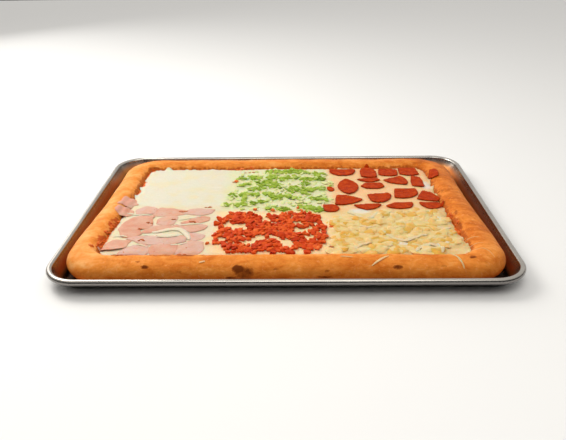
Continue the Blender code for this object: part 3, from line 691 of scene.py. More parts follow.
# Painted shade near the topping's edge.
paint(crust_bm, "edged",
      lambda vert: 1 - rise(away(field_tree, *vert.co.xy), 0.5 * MM, 10 * MM))
crust = add_piece("baked_crust", crust_bm, bread(), ["crust"], sharp=0)
print("spots and stains:", len(SPOTS_AND_SHADOW_LINES), len(SAUCE_STAINS))

# %% [markdown]
# ## Where things lie
# The toppings rest on the cheese, and some climb the crust. A tree of the faces below
# answers one question quickly: how high is the surface under this point? The cheese
# itself lies on the crust, so its level is worked out first, with the same slow wave
# that the solid has.

# %% Read heights from the surfaces
CHEESE_TOP = 0.0297
CHEESE_WAVE = 0.6 * MM


def surface_reader(items):
    """A function that gives the height of the highest surface under a point."""
    trees = []
    for item in items:
        mesh_copy = bmesh.new()
        mesh_copy.from_mesh(item.data)
        trees.append(BVHTree.FromBMesh(mesh_copy))
        mesh_copy.free()

    def height_at(x, y):
        heights = [0.0]
        for tree in trees:
            hit = tree.ray_cast(Vector((x, y, 0.2)), Vector((0, 0, -1)))[0]
            if hit is not None:
                heights.append(hit.z)
        return max(heights)

    return height_at


def cheese_level(x, y):
    """The level of the melted cheese, without its fine lumps."""
    return CHEESE_TOP + CHEESE_WAVE * noise.noise(Vector((x * 9, y * 9, 5.5)))


crust_height = surface_reader([crust])

# %% [markdown]
# ## Sheets that lie on something
# Cheese, ham and pepperoni are all thin sheets with an uneven outline. A flat face of
# that outline is cut by a grid of planes, which gives it points to bend at, then each
# point is laid on what is under it, and the sheet is thickened by an extrusion. The
# outline's own points are pulled in towards the middle of the thickness, so the edge
# is round.

# %% Write the sheet tool
def fine_sheet(outline, cell, lie, thickness, rounding=0.6 * MM):
    """A thin sheet with an outline, split into cells and laid at a given height."""
    bm = bmesh.new()
    face = bm.faces.new([bm.verts.new((point.x, point.y, 0)) for point in outline])
    if face.normal.z < 0:
        face.normal_flip()
    bmesh.ops.inset_region(bm, faces=[face], thickness=rounding, use_even_offset=True)
    for axis in (0, 1):
        low = min(point[axis] for point in outline)
        high = max(point[axis] for point in outline)
        normal = Vector((1 - axis, axis, 0))
        for line in range(math.ceil(low / cell), math.floor(high / cell) + 1):
            bmesh.ops.bisect_plane(bm, geom=bm.verts[:] + bm.edges[:] + bm.faces[:],
                                   plane_co=normal * line * cell, plane_no=normal, dist=1e-6)
    for vert in bm.verts:
        vert.co.z = lie(vert.co.x, vert.co.y)
    bottom = set(bm.verts)
    bmesh.ops.extrude_face_region(bm, geom=bm.faces[:])
    top = [vert for vert in bm.verts if vert not in bottom]
    for vert in top:
        vert.co.z += thickness(vert.co.x, vert.co.y)
    for vert in top:
        below = [edge.other_vert(vert) for edge in vert.link_edges
                 if edge.other_vert(vert) in bottom]
        if below:
            depth = vert.co.z - below[0].co.z
            vert.co.z -= 0.45 * depth
            below[0].co.z += 0.2 * depth
    bmesh.ops.recalc_face_normals(bm, faces=bm.faces[:])
    return bm


# %% [markdown]
# ## Sauce
# Only the sauce's edge shows, where the cheese stops short. A thin sheet covers the
# field's floor up to the rim. On the left the sauce was spread past the cheese, in
# ragged clots: those are small flattened balls, pushed about by noise and laid on the
# crust.

# %% Make the sauce
SAUCE_TOP = 0.0272
CLOTS = (
    (-261, -62, 5, 7, 13), (-264, -80, 5, 8, 16), (-267, -102, 4, 7, 12),
    (-266, -124, 5, 6, 12), (-268, -141, 6, 6, 15), (-275, -152, 5, 3, 8),
    (-262, -150, 8, 2, 5), (-225, -172, 22, 1.2, 8), (-165, -169, 26, 1.2, 9),
    (205, -168, 30, 1.2, 7), (261, -48, 2.5, 6, 5), (263, -76, 2.5, 6, 6),
    (260, -100, 3, 6, 7), (256, -134, 2, 4, 4), (-88, 152, 8, 2, 5), (-84, 140, 5, 3, 3),
    (-248, 146, 4, 4, 5), (-249, 92, 2, 5, 4), (-252, 56, 2, 5, 4),
)


def add_lump(bm, place, size, turn, seed, subdivisions=2, unevenness=0.8):
    """A small uneven ball, stretched to three sizes and turned."""
    made = bmesh.ops.create_icosphere(bm, subdivisions=subdivisions, radius=0.5)["verts"]
    for vert in made:
        push = 1 + unevenness * noise.noise(vert.co * 2.6 + Vector((seed, seed * 0.7, 0)))
        vert.co *= push
    bmesh.ops.scale(bm, vec=size, verts=made)
    bmesh.ops.rotate(bm, cent=(0, 0, 0), matrix=turn, verts=made)
    bmesh.ops.translate(bm, vec=place, verts=made)
    return made


def tomato_sauce(name, dark, middle, pale):
    """Moist sauce in three tones."""
    sauce = moist(name, 0.4, 0.08, 0.002, 0.1)
    tone = sauce.ramp(sauce.grain(190, 4), (0.3, dark), (0.55, middle), (0.75, pale))
    return sauce.done(tone, (sauce.grain(300, 4), 0.5 * MM))


rng = random.Random(21)
bm = fine_sheet(field_edge(1.07, 16, 60, 40), 8 * MM,
                lambda x, y: FIELD_FLOOR + 0.3 * MM,
                lambda x, y: SAUCE_TOP - FIELD_FLOOR + 0.5 * MM * swell(x, y, 0.009, 1.0))
for x, y, half_length, half_width, count in CLOTS:
    for _ in range(count):
        px = (x + rng.gauss(0, half_length * 0.5)) * MM
        py = (y + rng.gauss(0, half_width * 0.5)) * MM
        size = rng.uniform(3, 8.5) * MM
        turn = Matrix.Rotation(rng.gauss(0, 0.9), 3, "Z")
        add_lump(bm, (px, py, max(crust_height(px, py), SAUCE_TOP)),
                 (size, size * rng.uniform(0.35, 0.6), 1.6 * MM), turn, rng.uniform(0, 9))
moist_sauce = tomato_sauce("tomato_sauce", "C04C12", "DC6A26", "EE9448")
sauce = add_piece("sauce_layer", bm, moist_sauce, ["sauce"])
print("sauce faces:", len(sauce.data.polygons))

# %% [markdown]
# ## Slices from the solid model
# The pepperoni and ham already have a node each. Its outline is read back from the
# solid: the upper faces are kept, and their open border is walked round once. A slice
# cut with a knife has straight sides and true arcs, so points on an arc are joined by
# a curve and the sharp corners are left sharp.

# %% Read the slices' outlines
SHARP_TURN = math.radians(33)
STRAIGHT_TURN = math.radians(1.5)


def sides(corners):
    """The sides of a closed outline, each as its start and its end."""
    return zip(corners, corners[1:] + corners[:1])


def neighbours(points):
    """Each point of a closed outline, between the one before it and the one after."""
    return zip(points[-1:] + points[:-1], points, points[1:] + points[:1])


def slice_outline(name):
    """The points round a slice, seen from above, anticlockwise."""
    bm = bmesh.new()
    bm.from_mesh(frame["nodes"][name].data)
    bmesh.ops.remove_doubles(bm, verts=bm.verts[:], dist=0.01 * MM)
    bm.normal_update()
    lower = [face for face in bm.faces if face.normal.z < 0.4]
    bmesh.ops.delete(bm, geom=lower, context="FACES")
    edge = next(edge for edge in bm.edges if edge.is_boundary)
    first = vert = edge.verts[0]
    points = []
    while True:
        points.append(Vector(vert.co.xy))
        vert = edge.other_vert(vert)
        if vert == first:
            break
        edge = next(other for other in vert.link_edges if other.is_boundary and other != edge)
    bm.free()
    area = sum(a.x * b.y - b.x * a.y for a, b in sides(points))
    return points if area > 0 else points[::-1]


def straighten(points):
    """Keep the corners, and drop the points that lie on a straight side."""
    return [point for before, point, after in neighbours(points)
            if (point - before).angle(after - point, 0) > STRAIGHT_TURN]


def curve_outline(corners, spacing, wobble, wobble_size, seed, growth):
    """A dense outline: curved along its arcs, sharp at its corners, a little uneven."""
    count = len(corners)
    sharp = [(point - before).angle(after - point, 0) >= SHARP_TURN
             for before, point, after in neighbours(corners)]
    dense = []
    for index, (start, end) in enumerate(sides(corners)):
        before = 2 * start - end if sharp[index] else corners[index - 1]
        following = (index + 1) % count
        after = 2 * end - start if sharp[following] else corners[(index + 2) % count]
        pieces = max(2, round((end - start).length / spacing))
        dense += [curve(before, start, end, after, number / pieces)
                  for number in range(pieces)]
    for _ in range(3):
        dense = [0.5 * point + 0.25 * (before + after)
                 for before, point, after in neighbours(dense)]
    middle = sum(dense, Vector((0, 0))) / len(dense)
    uneven = []
    for point in dense:
        push = growth + wobble * (swell(point.x, point.y, wobble_size, seed) - 0.15)
        uneven.append(point + (point - middle).normalized() * push)
    return uneven


pepperoni_names = sorted(name for name in frame["nodes"] if name.startswith("pepperoni_"))
ham_names = sorted(name for name in frame["nodes"] if name.startswith("ham_"))
corner_lists = {name: straighten(slice_outline(name)) for name in pepperoni_names + ham_names}
print("slices read:", len(corner_lists))

# %% [markdown]
# ## Where the small pieces lie
# Diced pepper, diced pepperoni and pineapple are scattered by a rule with a seeded
# draw. The pepper follows strokes, as a hand drops it, and the others fill their
# section in staggered rows that are shaken loose, with holes where the cheese shows.
# Their places are found before the cheese is made, because hot fat and juice tint the
# cheese round each of them.

# %% Scatter the small pieces
PEPPER_STROKES = (
    (-36, 131, 19, 130, 5, 30), (-23, 114, -42, 66, 6, 32), (-34, 84, -13, 65, 7, 24),
    (-30, 38, -15, 17, 4, 16), (-15, 17, 2, 30, 5, 14), (1, 51, 37, 50, 7, 26),
    (1, 138, 67, 121, 4, 30), (-8, 103, 16, 102, 6, 18), (-83, 102, -75, 102, 3, 5),
    (-65, 106, -48, 101, 4, 9), (-61, 88, -49, 88, 2, 5), (-83, 68, -66, 79, 2.5, 8),
    (-60, 55, -42, 55, 5, 12), (-66, 34, -44, 34, 1.5, 8), (-81, 31, -63, 31, 2.5, 8),
    (-70, 25, -68, 5, 3, 7), (-100, -8, -58, -6, 2, 14), (-53, -2, -33, 6, 2, 8),
    (29, 98, 60, 98, 7, 16), (64, 68, 76, 56, 4, 9), (43, 54, 63, 57, 5, 12),
    (42, 19, 65, 9, 4, 10), (10, 17, 20, 16, 2, 3), (-32, -18, -13, -21, 1.5, 6),
    (-10, -25, 10, -26, 2, 8), (28, -16, 58, -30, 6, 36), (30, 76, 38, 79, 3, 4),
    (28, 37, 37, 35, 2, 3), (-97, 19, -90, 19, 1.5, 2), (-91, 31, -83, 31, 1.5, 2),
)
PEPPER_FIELD = ((-106, -14), (-62, -24), (-34, -26), (-10, -31), (24, -31), (34, -38),
                (59, -38), (59, -5), (80, 2), (76, 44), (84, 70), (78, 98), (72, 130),
                (40, 142), (10, 146), (-46, 143), (-86, 120), (-90, 92), (-86, 50),
                (-102, 30))
DICED_FIELD = ((-104, -56), (-106, -74), (-101, -92), (-105, -110), (-103, -136),
               (-90, -138), (-88, -164), (-35, -166), (12, -166), (38, -164), (50, -150),
               (60, -127), (61, -109), (61, -85), (52, -76), (53, -46), (24, -38),
               (-1, -37), (-39, -54), (-45, -41), (-77, -36))
DICED_HOLES = ((-74, -83, 12), (-84, -80, 9), (-51, -134, 10), (-44, -128, 7),
               (-36, -122, 9), (-27, -124, 7), (-13, -121, 8), (2, -137, 11), (17, -76, 8),
               (23, -98, 10), (32, -96, 8), (37, -120, 8), (26, -155, 6), (18, -163, 9),
               (-31, -60, 8), (-63, -88, 5), (44, -75, 6), (-92, -122, 6), (-14, -72, 5),
               (-70, -116, 5), (46, -104, 5))
PINEAPPLE_FIELD = ((64, -160), (67, -164), (98, -167), (175, -167), (210, -166),
                   (244, -162), (250, -134), (248, -111), (250, -82), (248, -50),
                   (242, -36), (208, -32), (153, -35), (130, -58), (93, -58), (78, -48),
                   (70, -60), (72, -80), (78, -105), (68, -132))
PINEAPPLE_HOLES = ((138, -54, 11), (151, -85, 6), (137, -106, 7), (177, -59, 6),
                   (239, -86, 9), (191, -156, 9), (237, -157, 11), (207, -147, 7),
                   (118, -140, 6), (162, -123, 6), (248, -124, 7), (246, -56, 6))
STRAY_DICE = ((-49, -26), (-20, -30), (20, -21), (26, -30), (-112, -136), (70, -87),
              (67, -153), (-88, 86), (-100, -138), (-82, 146), (-64, 150))
STROKE_FILL = 1.9
ROW_STEP = 0.87
SHAKE = 0.3


def inside(x, y, corners):
    """Whether a point lies inside a closed outline."""
    hit = False
    for (x0, y0), (x1, y1) in sides(corners):
        if (y0 > y) != (y1 > y) and x < x0 + (y - y0) * (x1 - x0) / (y1 - y0):
            hit = not hit
    return hit


def stroke_places(rng, strokes, field, apart):
    """Places along strokes, closest at their middle line."""
    places = []
    for x0, y0, x1, y1, half_width, count in strokes:
        for _ in range(round(STROKE_FILL * count)):
            share = rng.random()
            x = x0 + (x1 - x0) * share + rng.gauss(0, half_width * 0.65)
            y = y0 + (y1 - y0) * share + rng.gauss(0, half_width * 0.65)
            if inside(x, y, field) and all(math.hypot(x - a, y - b) > apart for a, b in places):
                places.append((x, y))
    return places


def row_places(rng, field, spacing, holes):
    """Places in staggered rows inside an outline, each shaken off its row."""
    places = []
    low_x, high_x = min(x for x, _ in field), max(x for x, _ in field)
    low_y, high_y = min(y for _, y in field), max(y for _, y in field)
    for row in range(int((high_y - low_y) / (spacing * ROW_STEP)) + 2):
        for column in range(int((high_x - low_x) / spacing) + 2):
            x = low_x + (column + 0.5 * (row % 2) + rng.uniform(-SHAKE, SHAKE)) * spacing
            y = low_y + (row * ROW_STEP + rng.uniform(-SHAKE, SHAKE)) * spacing
            if inside(x, y, field) and all(math.hypot(x - a, y - b) > reach
                                           for a, b, reach in holes):
                places.append((x, y))
    return places


def side_points(names):
    """Points along the sides of some slices, eight to a side."""
    return [start.lerp(end, number / 8) for name in names
            for start, end in sides(corner_lists[name]) for number in range(8)]


def clear_of_slices(places, reach):
    """Drop the places that come too near a slice."""
    return [(x, y) for x, y in places if away(slice_tree, x * MM, y * MM) > reach * MM]


def place_tree(places):
    """A search tree over places in millimetres."""
    return search_tree([(x * MM, y * MM) for x, y in places])


slice_tree = search_tree(side_points(corner_lists))
pepper_places = clear_of_slices(
    stroke_places(random.Random(7), PEPPER_STROKES, PEPPER_FIELD, 2.3), 4)
sunken_places = clear_of_slices(row_places(random.Random(3), PEPPER_FIELD, 15.0, ()), 4)
diced_places = clear_of_slices(
    row_places(random.Random(5), DICED_FIELD, 7.2, DICED_HOLES), 4)
diced_places += STRAY_DICE
pineapple_places = clear_of_slices(
    row_places(random.Random(9), PINEAPPLE_FIELD, 13.5, PINEAPPLE_HOLES), 6)
pepper_tree, diced_tree = place_tree(pepper_places), place_tree(diced_places)
pineapple_tree = place_tree(pineapple_places)
print("pieces:", len(pepper_places), len(diced_places), len(pineapple_places))

# %% [markdown]
# ## The cheese
# Shredded cheese melts into one sheet, thick in the middle and thin at its ragged
# edge, with faint lumps where the shreds were. It is a sheet like the slices, only
# larger. Its colour changes from section to section, since it takes up the fat of the
# pepperoni and the juice of the pepper and the pineapple, so each point carries a
# colour worked out from the sections and from the pieces nearest to it.

# %% Shape the cheese
CHEESE_BITES = (
    (-268, -66, 20, 2.5), (-270, -126, 18, 4), (-230, -174, 30, 4), (-150, -174, 30, 3),
    (205, -174, 34, 4), (262, -58, 16, 4), (262, -98, 16, 4), (-258, 45, 26, 1.5),
    (-257, 92, 34, 1.5), (-88, 158, 20, 3),
)
CHEESE_PEAKS = (
    (-222, 153, 10, 5), (-238, 150, 8, 3), (-250, 104, 11, 4), (-254, 72, 9, 4),
    (-256, 34, 10, 4), (-260, -6, 10, 5), (257, 96, 7, 6),
    (258, 62, 7, 5), (-20, 152, 30, 2), (-112, -170, 12, 6),
    (-45, -170, 9, 3), (252, -163, 10, 5), (130, 153, 24, 2),
)
CHEESE_CELL = 2.3 * MM


def swelling(distance, reach, power=2):
    """1 at no distance, fading to nothing past a reach."""
    return math.exp(-(distance / reach) ** power)


def cheese_outline():
    """The cheese's ragged edge: jagged by noise, with bites and peaks where it ran."""
    points = []
    for start, end in outline_pair(24, 150, 100):
        point = start.lerp(end, 1.02)
        raggedness = 1 + 0.8 * rise(-point.x, 0.20, 0.25) * rise(point.y, -0.03, 0.0)
        jag = 3.4 * raggedness * (0.35 + 0.65 * swell(point.x, point.y, 0.014, 1.3))
        jag += 1.6 * raggedness * (0.35 + 0.65 * swell(point.x, point.y, 0.006, 4.3))
        for x, y, reach, depth in CHEESE_BITES:
            distance = (Vector((x, y)) * MM - point).length
            jag += depth * swelling(distance, reach * MM)
        for x, y, reach, depth in CHEESE_PEAKS:
            distance = (Vector((x, y)) * MM - point).length / (reach * MM)
            jag -= depth * math.exp(-distance * distance * 1.6)
        points.append(point + (end - start).normalized() * jag * MM)
    return points


def cheese_lie(x, y):
    """The height of the cheese's underside."""
    lumps = 0.30 * swell(x, y, 0.020, 3.3) + 0.22 * swell(x, y, 0.009, 5.9)
    low = cheese_level(x, y) + lumps * MM - 3.0 * MM
    if away(edge_tree, x, y) < 40 * MM:
        low = max(low, crust_height(x, y) + 0.35 * MM)
    return low


def mound(x, y):
    """How far the cheese wells up round the small pieces that sank into it."""
    return max(2.2 * swelling(away(pepper_tree, x, y), 6.0 * MM),
               3.1 * swelling(away(pineapple_tree, x, y), 10.0 * MM, 4),
               1.0 * swelling(away(diced_tree, x, y), 5.0 * MM)) * MM


def cheese_thickness(x, y):
    """Three millimetres in the middle, thinning out towards the edge."""
    return (0.9 + 2.1 * rise(away(edge_tree, x, y), 0, 9 * MM)) * MM + mound(x, y)


cheese_line = cheese_outline()
edge_tree = search_tree(cheese_line)
cheese_bm = fine_sheet(cheese_line, CHEESE_CELL, cheese_lie, cheese_thickness)
print("cheese faces:", len(cheese_bm.faces))

# %% [markdown]
# The tint has two parts. The first is a base for each section, with borders that
# wander a little. The second is what soaks out of the pieces: orange fat from the
# meat, pale green from the pepper, yellow from the fruit. It is strongest beside a
# piece and fades within a few millimetres.

# %% Tint the cheese
SECTION_TINTS = {
    "plain": srgb("D4D0BC"), "pepper": srgb("D2D2AA"), "pepperoni": srgb("E6BA88"),
    "ham": srgb("D8CBAE"), "diced": srgb("EACA98"), "pineapple": srgb("DEC084"),
}
FAT, GREEN_JUICE, FRUIT_JUICE = srgb("EE9A58"), srgb("AEBE62"), srgb("DFBC72")
BARE_CHEESE = srgb("DCDAD2")
BARE_PATCHES = (
    (243, 70, 9, 16), (119, -30, 16, 9), (232, -62, 7, 7), (170, -140, 9, 6),
    (223, -140, 12, 9),
)


def mix_colour(first, second, share):
    """A colour part of the way from one to another."""
    return [a + (b - a) * share for a, b in zip(first, second)]


def section_tint(x, y):
    """The cheese's base colour, with wandering borders between the sections."""
    px = x / MM + 9 * swell(x, y, 0.022, 8.0)
    py = y / MM + 7 * swell(x, y, 0.022, 2.0)
    back = rise(py, -34, -22)
    left = mix_colour(SECTION_TINTS["ham"], SECTION_TINTS["plain"], rise(py, -16, 0))
    middle = mix_colour(SECTION_TINTS["diced"], SECTION_TINTS["pepper"], back)
    right = mix_colour(SECTION_TINTS["pineapple"], SECTION_TINTS["pepperoni"], back)
    colour = mix_colour(left, middle, rise(px, -116, -92))
    return mix_colour(colour, right, rise(px, 62, 84))


def cheese_colour(x, y):
    """A point's colour: its section, then what soaked out of the pieces near it."""
    near_meat = min(away(diced_tree, x, y), away(pepperoni_tree, x, y))
    near_pepper, near_fruit = away(pepper_tree, x, y), away(pineapple_tree, x, y)
    colour = section_tint(x, y)
    for soaked, most, distance, reach in ((FAT, 0.55, near_meat, 4.5 * MM),
                                          (GREEN_JUICE, 0.75, near_pepper, 6.0 * MM),
                                          (FRUIT_JUICE, 0.6, near_fruit, 9.0 * MM)):
        colour = mix_colour(colour, soaked, most * swelling(distance, reach))
    for patch in BARE_PATCHES:
        colour = mix_colour(colour, BARE_CHEESE, 0.8 * closeness(x, y, *patch))
    return colour


def melted_cheese():
    """Soft, slightly glossy cheese, with faint shreds in its colour and relief."""
    curd = moist("melted_cheese", 0.42, 0.35, 0.004, 0.15)
    shreds = curd.grain(95, 4, 0.6, 1.4, (1.0, 2.2, 1.0))
    colour = curd.attribute("tint", "Color")
    colour = curd.cover(colour, "E2DCCA", curd.step(shreds, 0.50, 0.72), 0.4)
    colour = curd.cover(colour, "DCCB94", curd.step(curd.grain(30, 3), 0.45, 0.70), 0.45)
    return curd.done(colour, (shreds, 1.2 * MM), (curd.grain(340, 3), 0.2 * MM))


pepperoni_tree = search_tree(side_points(pepperoni_names))
tint = cheese_bm.verts.layers.float_color.new("tint")
for vert in cheese_bm.verts:
    vert[tint] = (*cheese_colour(vert.co.x, vert.co.y)[:3], 1.0)
cheese_skin = melted_cheese()
cheese = add_piece("cheese_sheet", cheese_bm, cheese_skin, ["cheese"], sharp=0)
ground_height = surface_reader([crust, cheese])
print("sections tinted:", len(SECTION_TINTS))

# %% [markdown]
# ## Pepperoni
# Thick slices were cut into halves, quarters and wedges. Baked sausage is brick red,
# flecked with paler fat, darker and drier at its cut edge, and it cups a little as it
# shrinks. Each node becomes a sheet with those cups and a rough upper face.

# %% Make the pepperoni slices
CLIMB_START = 0.0335
LEVEL_TOP = 0.0318


def cured_sausage():
    """Brick-red sausage with paler flecks of fat and a darker cut edge."""
    meat = moist("cured_sausage", 0.45, 0.05, 0.002, 0.04)
    colour = meat.ramp(meat.grain(130, 4), (0.3, "982800"), (0.52, "B03400"), (0.75, "C44C04"))
    flecks = meat.step(meat.grain(420, 2), 0.60, 0.70)
    colour = meat.cover(colour, "D0642C", flecks, 0.2)
    colour = meat.cover(colour, "701802", meat.attribute("rim"))
    return meat.done(colour, (meat.grain(260, 4), 0.6 * MM), (flecks, 0.2 * MM))


def paint_rim(bm, border, width):
    """Darken a slice within a width of its edge."""
    paint(bm, "rim", lambda vert: 0.5 * (1 - rise(away(border, *vert.co.xy), 0.0, width)))


sausage = cured_sausage()
for number, name in enumerate(pepperoni_names):
    outline = curve_outline(corner_lists[name], 1.6 * MM, 0.9 * MM, 0.006, number + 0.5,
                            1.8 * MM)
    middle = sum(outline, Vector((0, 0))) / len(outline)
    on_crust = ground_height(*middle) > CLIMB_START

    def lie(x, y):
        cup = (Vector((x, y)) - middle).length_squared * 1.6
        ground = ground_height(x, y)
        if on_crust:
            return ground + 0.6 * MM + cup
        return min(ground, LEVEL_TOP) + 0.05 * MM + cup

    bm = fine_sheet(outline, 2.0 * MM, lie,
                    lambda x, y: (1.6 + 0.3 * swell(x, y, 0.004, number)) * MM)
    paint_rim(bm, search_tree(outline), 1.8 * MM)
    add_piece("slice_of_" + name, bm, sausage, [name])
print("slices of pepperoni:", len(pepperoni_names))

# %% [markdown]
# ## Ham
# The ham is sliced very thin and cut into scraps. It takes up the shape of what is
# under it, its surface shines where it is moist, and its colour runs from warm pink to
# a greyer pink. The same sheet tool makes it, with a waved height and a thin edge.
# Scraps at the left lie half on the crust. A scrap is stiffer than the slope that it
# lies on, so its height there takes in the ground beside each point.

# %% Make the ham
HAM_LIFTED = "ham_13"
HAM_LIFT = 2.6 * MM
CRUST_SIDE = -0.248
HAM_REACH = 8 * MM


def cooked_ham():
    """Pink meat in two tones, with pale fibres, redder patches, a browned edge and painted
    light where it climbs the crust.
    """
    meat = moist("cooked_ham", 0.42, 0.3, 0.003, 0.15)
    level = meat.plus(meat.times(meat.attribute("shade"), 0.42), meat.grain(55, 4))
    colour = meat.ramp(level, (0.4, "CC8C74"), (0.66, "D29E86"), (0.92, "D0A89A"))
    fibres = meat.grain(180, 4, 0.6, 0.8, (1, 2.5, 1))
    colour = meat.cover(colour, "DAB8A4", meat.step(fibres, 0.55, 0.75), 0.4)
    colour = meat.cover(colour, "D58468", meat.step(meat.grain(70, 4), 0.56, 0.70), 0.5)
    colour = meat.cover(colour, "C8603C", meat.step(meat.grain(110, 4), 0.66, 0.74))
    colour = meat.cover(colour, "C07E62", meat.attribute("rim"))
    # Painted light: scraps high on the crust's slope are made paler and pinker, against the
    # shade they lie in.
    colour = meat.cover(colour, "E29E8A", meat.attribute("toasted"))
    return meat.done(colour, (fibres, 0.4 * MM))


ham_meat = cooked_ham()
for number, name in enumerate(ham_names):
    corners = corner_lists[name]
    on_crust = sum(point.x for point in corners) / len(corners) < CRUST_SIDE
    growth, wobble = (1.5 * MM, 4.5 * MM) if on_crust else (4.2 * MM, 2.2 * MM)
    outline = curve_outline(corners, 1.8 * MM, wobble, 0.009, number + 0.3, growth)
    border = search_tree(outline)
    low_y = min(point.y for point in outline)
    high_y = max(point.y for point in outline)
    layer = 0.02 + 0.22 * (number % 3)

    def lie(x, y):
        inner = rise(away(border, x, y), 0, 7 * MM)
        wave = 0.8 * swell(x, y, 0.012, number) + 0.35 * swell(x, y, 0.005, number + 5)
        ground = ground_height(x, y)
        if on_crust:
            beside = [ground_height(x + side * HAM_REACH, y) for side in (-1, 1)]
            ground = max(ground, sum(beside) / 2)
        lift = 0.7 * MM * rise(ground, 0.0325, 0.034)
        if name == HAM_LIFTED:
            lift = HAM_LIFT * (1 - rise(y, low_y, low_y + 0.4 * (high_y - low_y)))
        return ground + (layer + 0.3 * inner + 0.8 * inner * wave) * MM + lift

    bm = fine_sheet(outline, 2.2 * MM, lie, lambda x, y: 0.55 * MM, 0.4 * MM)
    paint_rim(bm, border, 1.6 * MM)
    paint(bm, "shade", lambda vert: 0.3 if on_crust else (number * 7 % 16) / 15)
    # Painted light on the part of a scrap that climbs the crust.
    paint(bm, "toasted",
          lambda vert: 0.8 * rise(vert.co.z, 0.0322, 0.0350) if on_crust else 0.0)
    add_piece("scrap_of_" + name, bm, ham_meat, [name])
print("scraps of ham:", len(ham_names))

# %% [markdown]
# ## Diced pieces
# A few hundred dice need a light mesh each. One block with bevelled edges is made
# once, then copied with its own size, turn and dents, and every copy carries a shade
# of its own, so that no two look the same. Each kind becomes one joined mesh.

# %% Write the dice tool
def block_mesh(bevel):
    """A bevelled block, one unit across, as the pattern for the dice."""
    bm = bmesh.new()
    bmesh.ops.create_cube(bm, size=1.0)
    bmesh.ops.bevel(bm, geom=bm.edges[:], offset=bevel, segments=2, affect="EDGES",
                    profile=0.5, material=-1)
    bm.verts.layers.float.new("shade")
    return to_mesh("block", bm)


def add_block(bm, pattern, place, size, turn, seed, shade, dents):
    """One more block in a joined mesh, dented by noise."""
    before = len(bm.verts)
    bm.from_mesh(pattern)
    bm.verts.ensure_lookup_table()
    layer = bm.verts.layers.float["shade"]
    for vert in bm.verts[before:]:
        push = dents * noise.noise(vert.co * 2.2 + Vector((seed, 0, seed * 0.3)))
        vert.co *= 1 + 2 * push
        local = Vector((vert.co.x * size[0], vert.co.y * size[1], vert.co.z * size[2]))
        vert.co = turn @ local + Vector(place)
        vert[layer] = shade


def random_turn(rng, tilt):
    """A turn about the upright axis, with a small tilt."""
    spin = Matrix.Rotation(rng.uniform(0, math.tau), 3, "Z")
    lean = Matrix.Rotation(rng.uniform(-tilt, tilt), 3, "X")
    return spin @ lean @ Matrix.Rotation(rng.uniform(-tilt, tilt), 3, "Y")


soft_block, round_block = block_mesh(0.22), block_mesh(0.30)
print("faces of a block:", len(soft_block.polygons))

# %% [markdown]
# ## Green pepper
# The pepper is chopped into short flat pieces, some of them slivers. The skin side is
# a deeper green than the flesh, and the cheese half covers many of them.

# %% Scatter the green pepper
def chopped_pepper():
    """Green flesh, from deep green to nearly the cheese's colour."""
    flesh = moist("chopped_pepper", 0.42, 0.12, 0.002, 0.1)
    tone = flesh.ramp(flesh.mottled("shade", flesh.grain(160, 3), 0.5), (0.0, "728E20"),
                      (0.35, "8EA834"), (0.7, "A2B646"), (1.0, "D2D698"))
    return flesh.done(tone, (flesh.grain(380, 3), 0.3 * MM))


rng = random.Random(11)
bm = bmesh.new()
for number, (x, y) in enumerate(pepper_places + sunken_places):
    sunken = number >= len(pepper_places)
    length = rng.uniform(7.0, 14.0) * MM
    width = rng.uniform(4.5, 8.0) * MM
    ground = cheese_level(x * MM, y * MM) - (1.0 * MM if sunken else 0)
    place = (x * MM, y * MM, ground + rng.uniform(0.2, 1.5) * MM)
    shade = rng.uniform(0.8, 1.1) if sunken else rng.uniform(0.0, 0.75)
    add_block(bm, soft_block, place, (length, width, rng.uniform(2.2, 3.6) * MM),
              random_turn(rng, 0.24), rng.uniform(0, 50), shade, 0.3)
add_piece("chopped_green_pepper", bm, chopped_pepper(), ["green_pepper"])
print("bits of pepper, sunken ones:", len(pepper_places), len(sunken_places))

# %% [markdown]
# ## Diced pepperoni
# The same sausage as the slices, cut into small dice that lie close together in the
# middle section. The dice are rounder, brighter where they face up and very dark
# between, so they only need good shapes and a spread of reds.

# %% Scatter the diced pepperoni
def diced_sausage():
    """The same sausage, brighter, in a spread of reds."""
    meat = moist("diced_sausage", 0.5, 0.05, 0.002, 0.1)
    tone = meat.ramp(meat.mottled("shade", meat.grain(220, 3), 0.7), (0.0, "A82808"),
                     (0.4, "C83E10"), (0.75, "DC5A20"), (1.0, "EC8040"))
    return meat.done(tone, (meat.grain(420, 3), 0.4 * MM))


rng = random.Random(13)
bm = bmesh.new()
for x, y in diced_places:
    stray = (x, y) in STRAY_DICE
    size = (rng.uniform(5.0, 7.0) if stray else rng.uniform(6.0, 11.5)) * MM
    place = (x * MM, y * MM, cheese_level(x * MM, y * MM) + rng.uniform(1.2, 2.8) * MM)
    add_block(bm, round_block, place,
              (size, size * rng.uniform(0.6, 0.9), rng.uniform(2.6, 4.2) * MM),
              random_turn(rng, 0.28), rng.uniform(0, 50),
              0.9 if stray else rng.uniform(0.15, 0.8), 0.34)
add_piece("dice_of_pepperoni", bm, diced_sausage(), ["diced_pepperoni"])
print("dice:", len(diced_places))

# %% [markdown]
# ## Pineapple
# Tinned pineapple tidbits are small wedges of a ring. Baked, they sink into the cheese
# and keep only a low, soft form, pale gold, with paler patches where cheese ran over
# them.

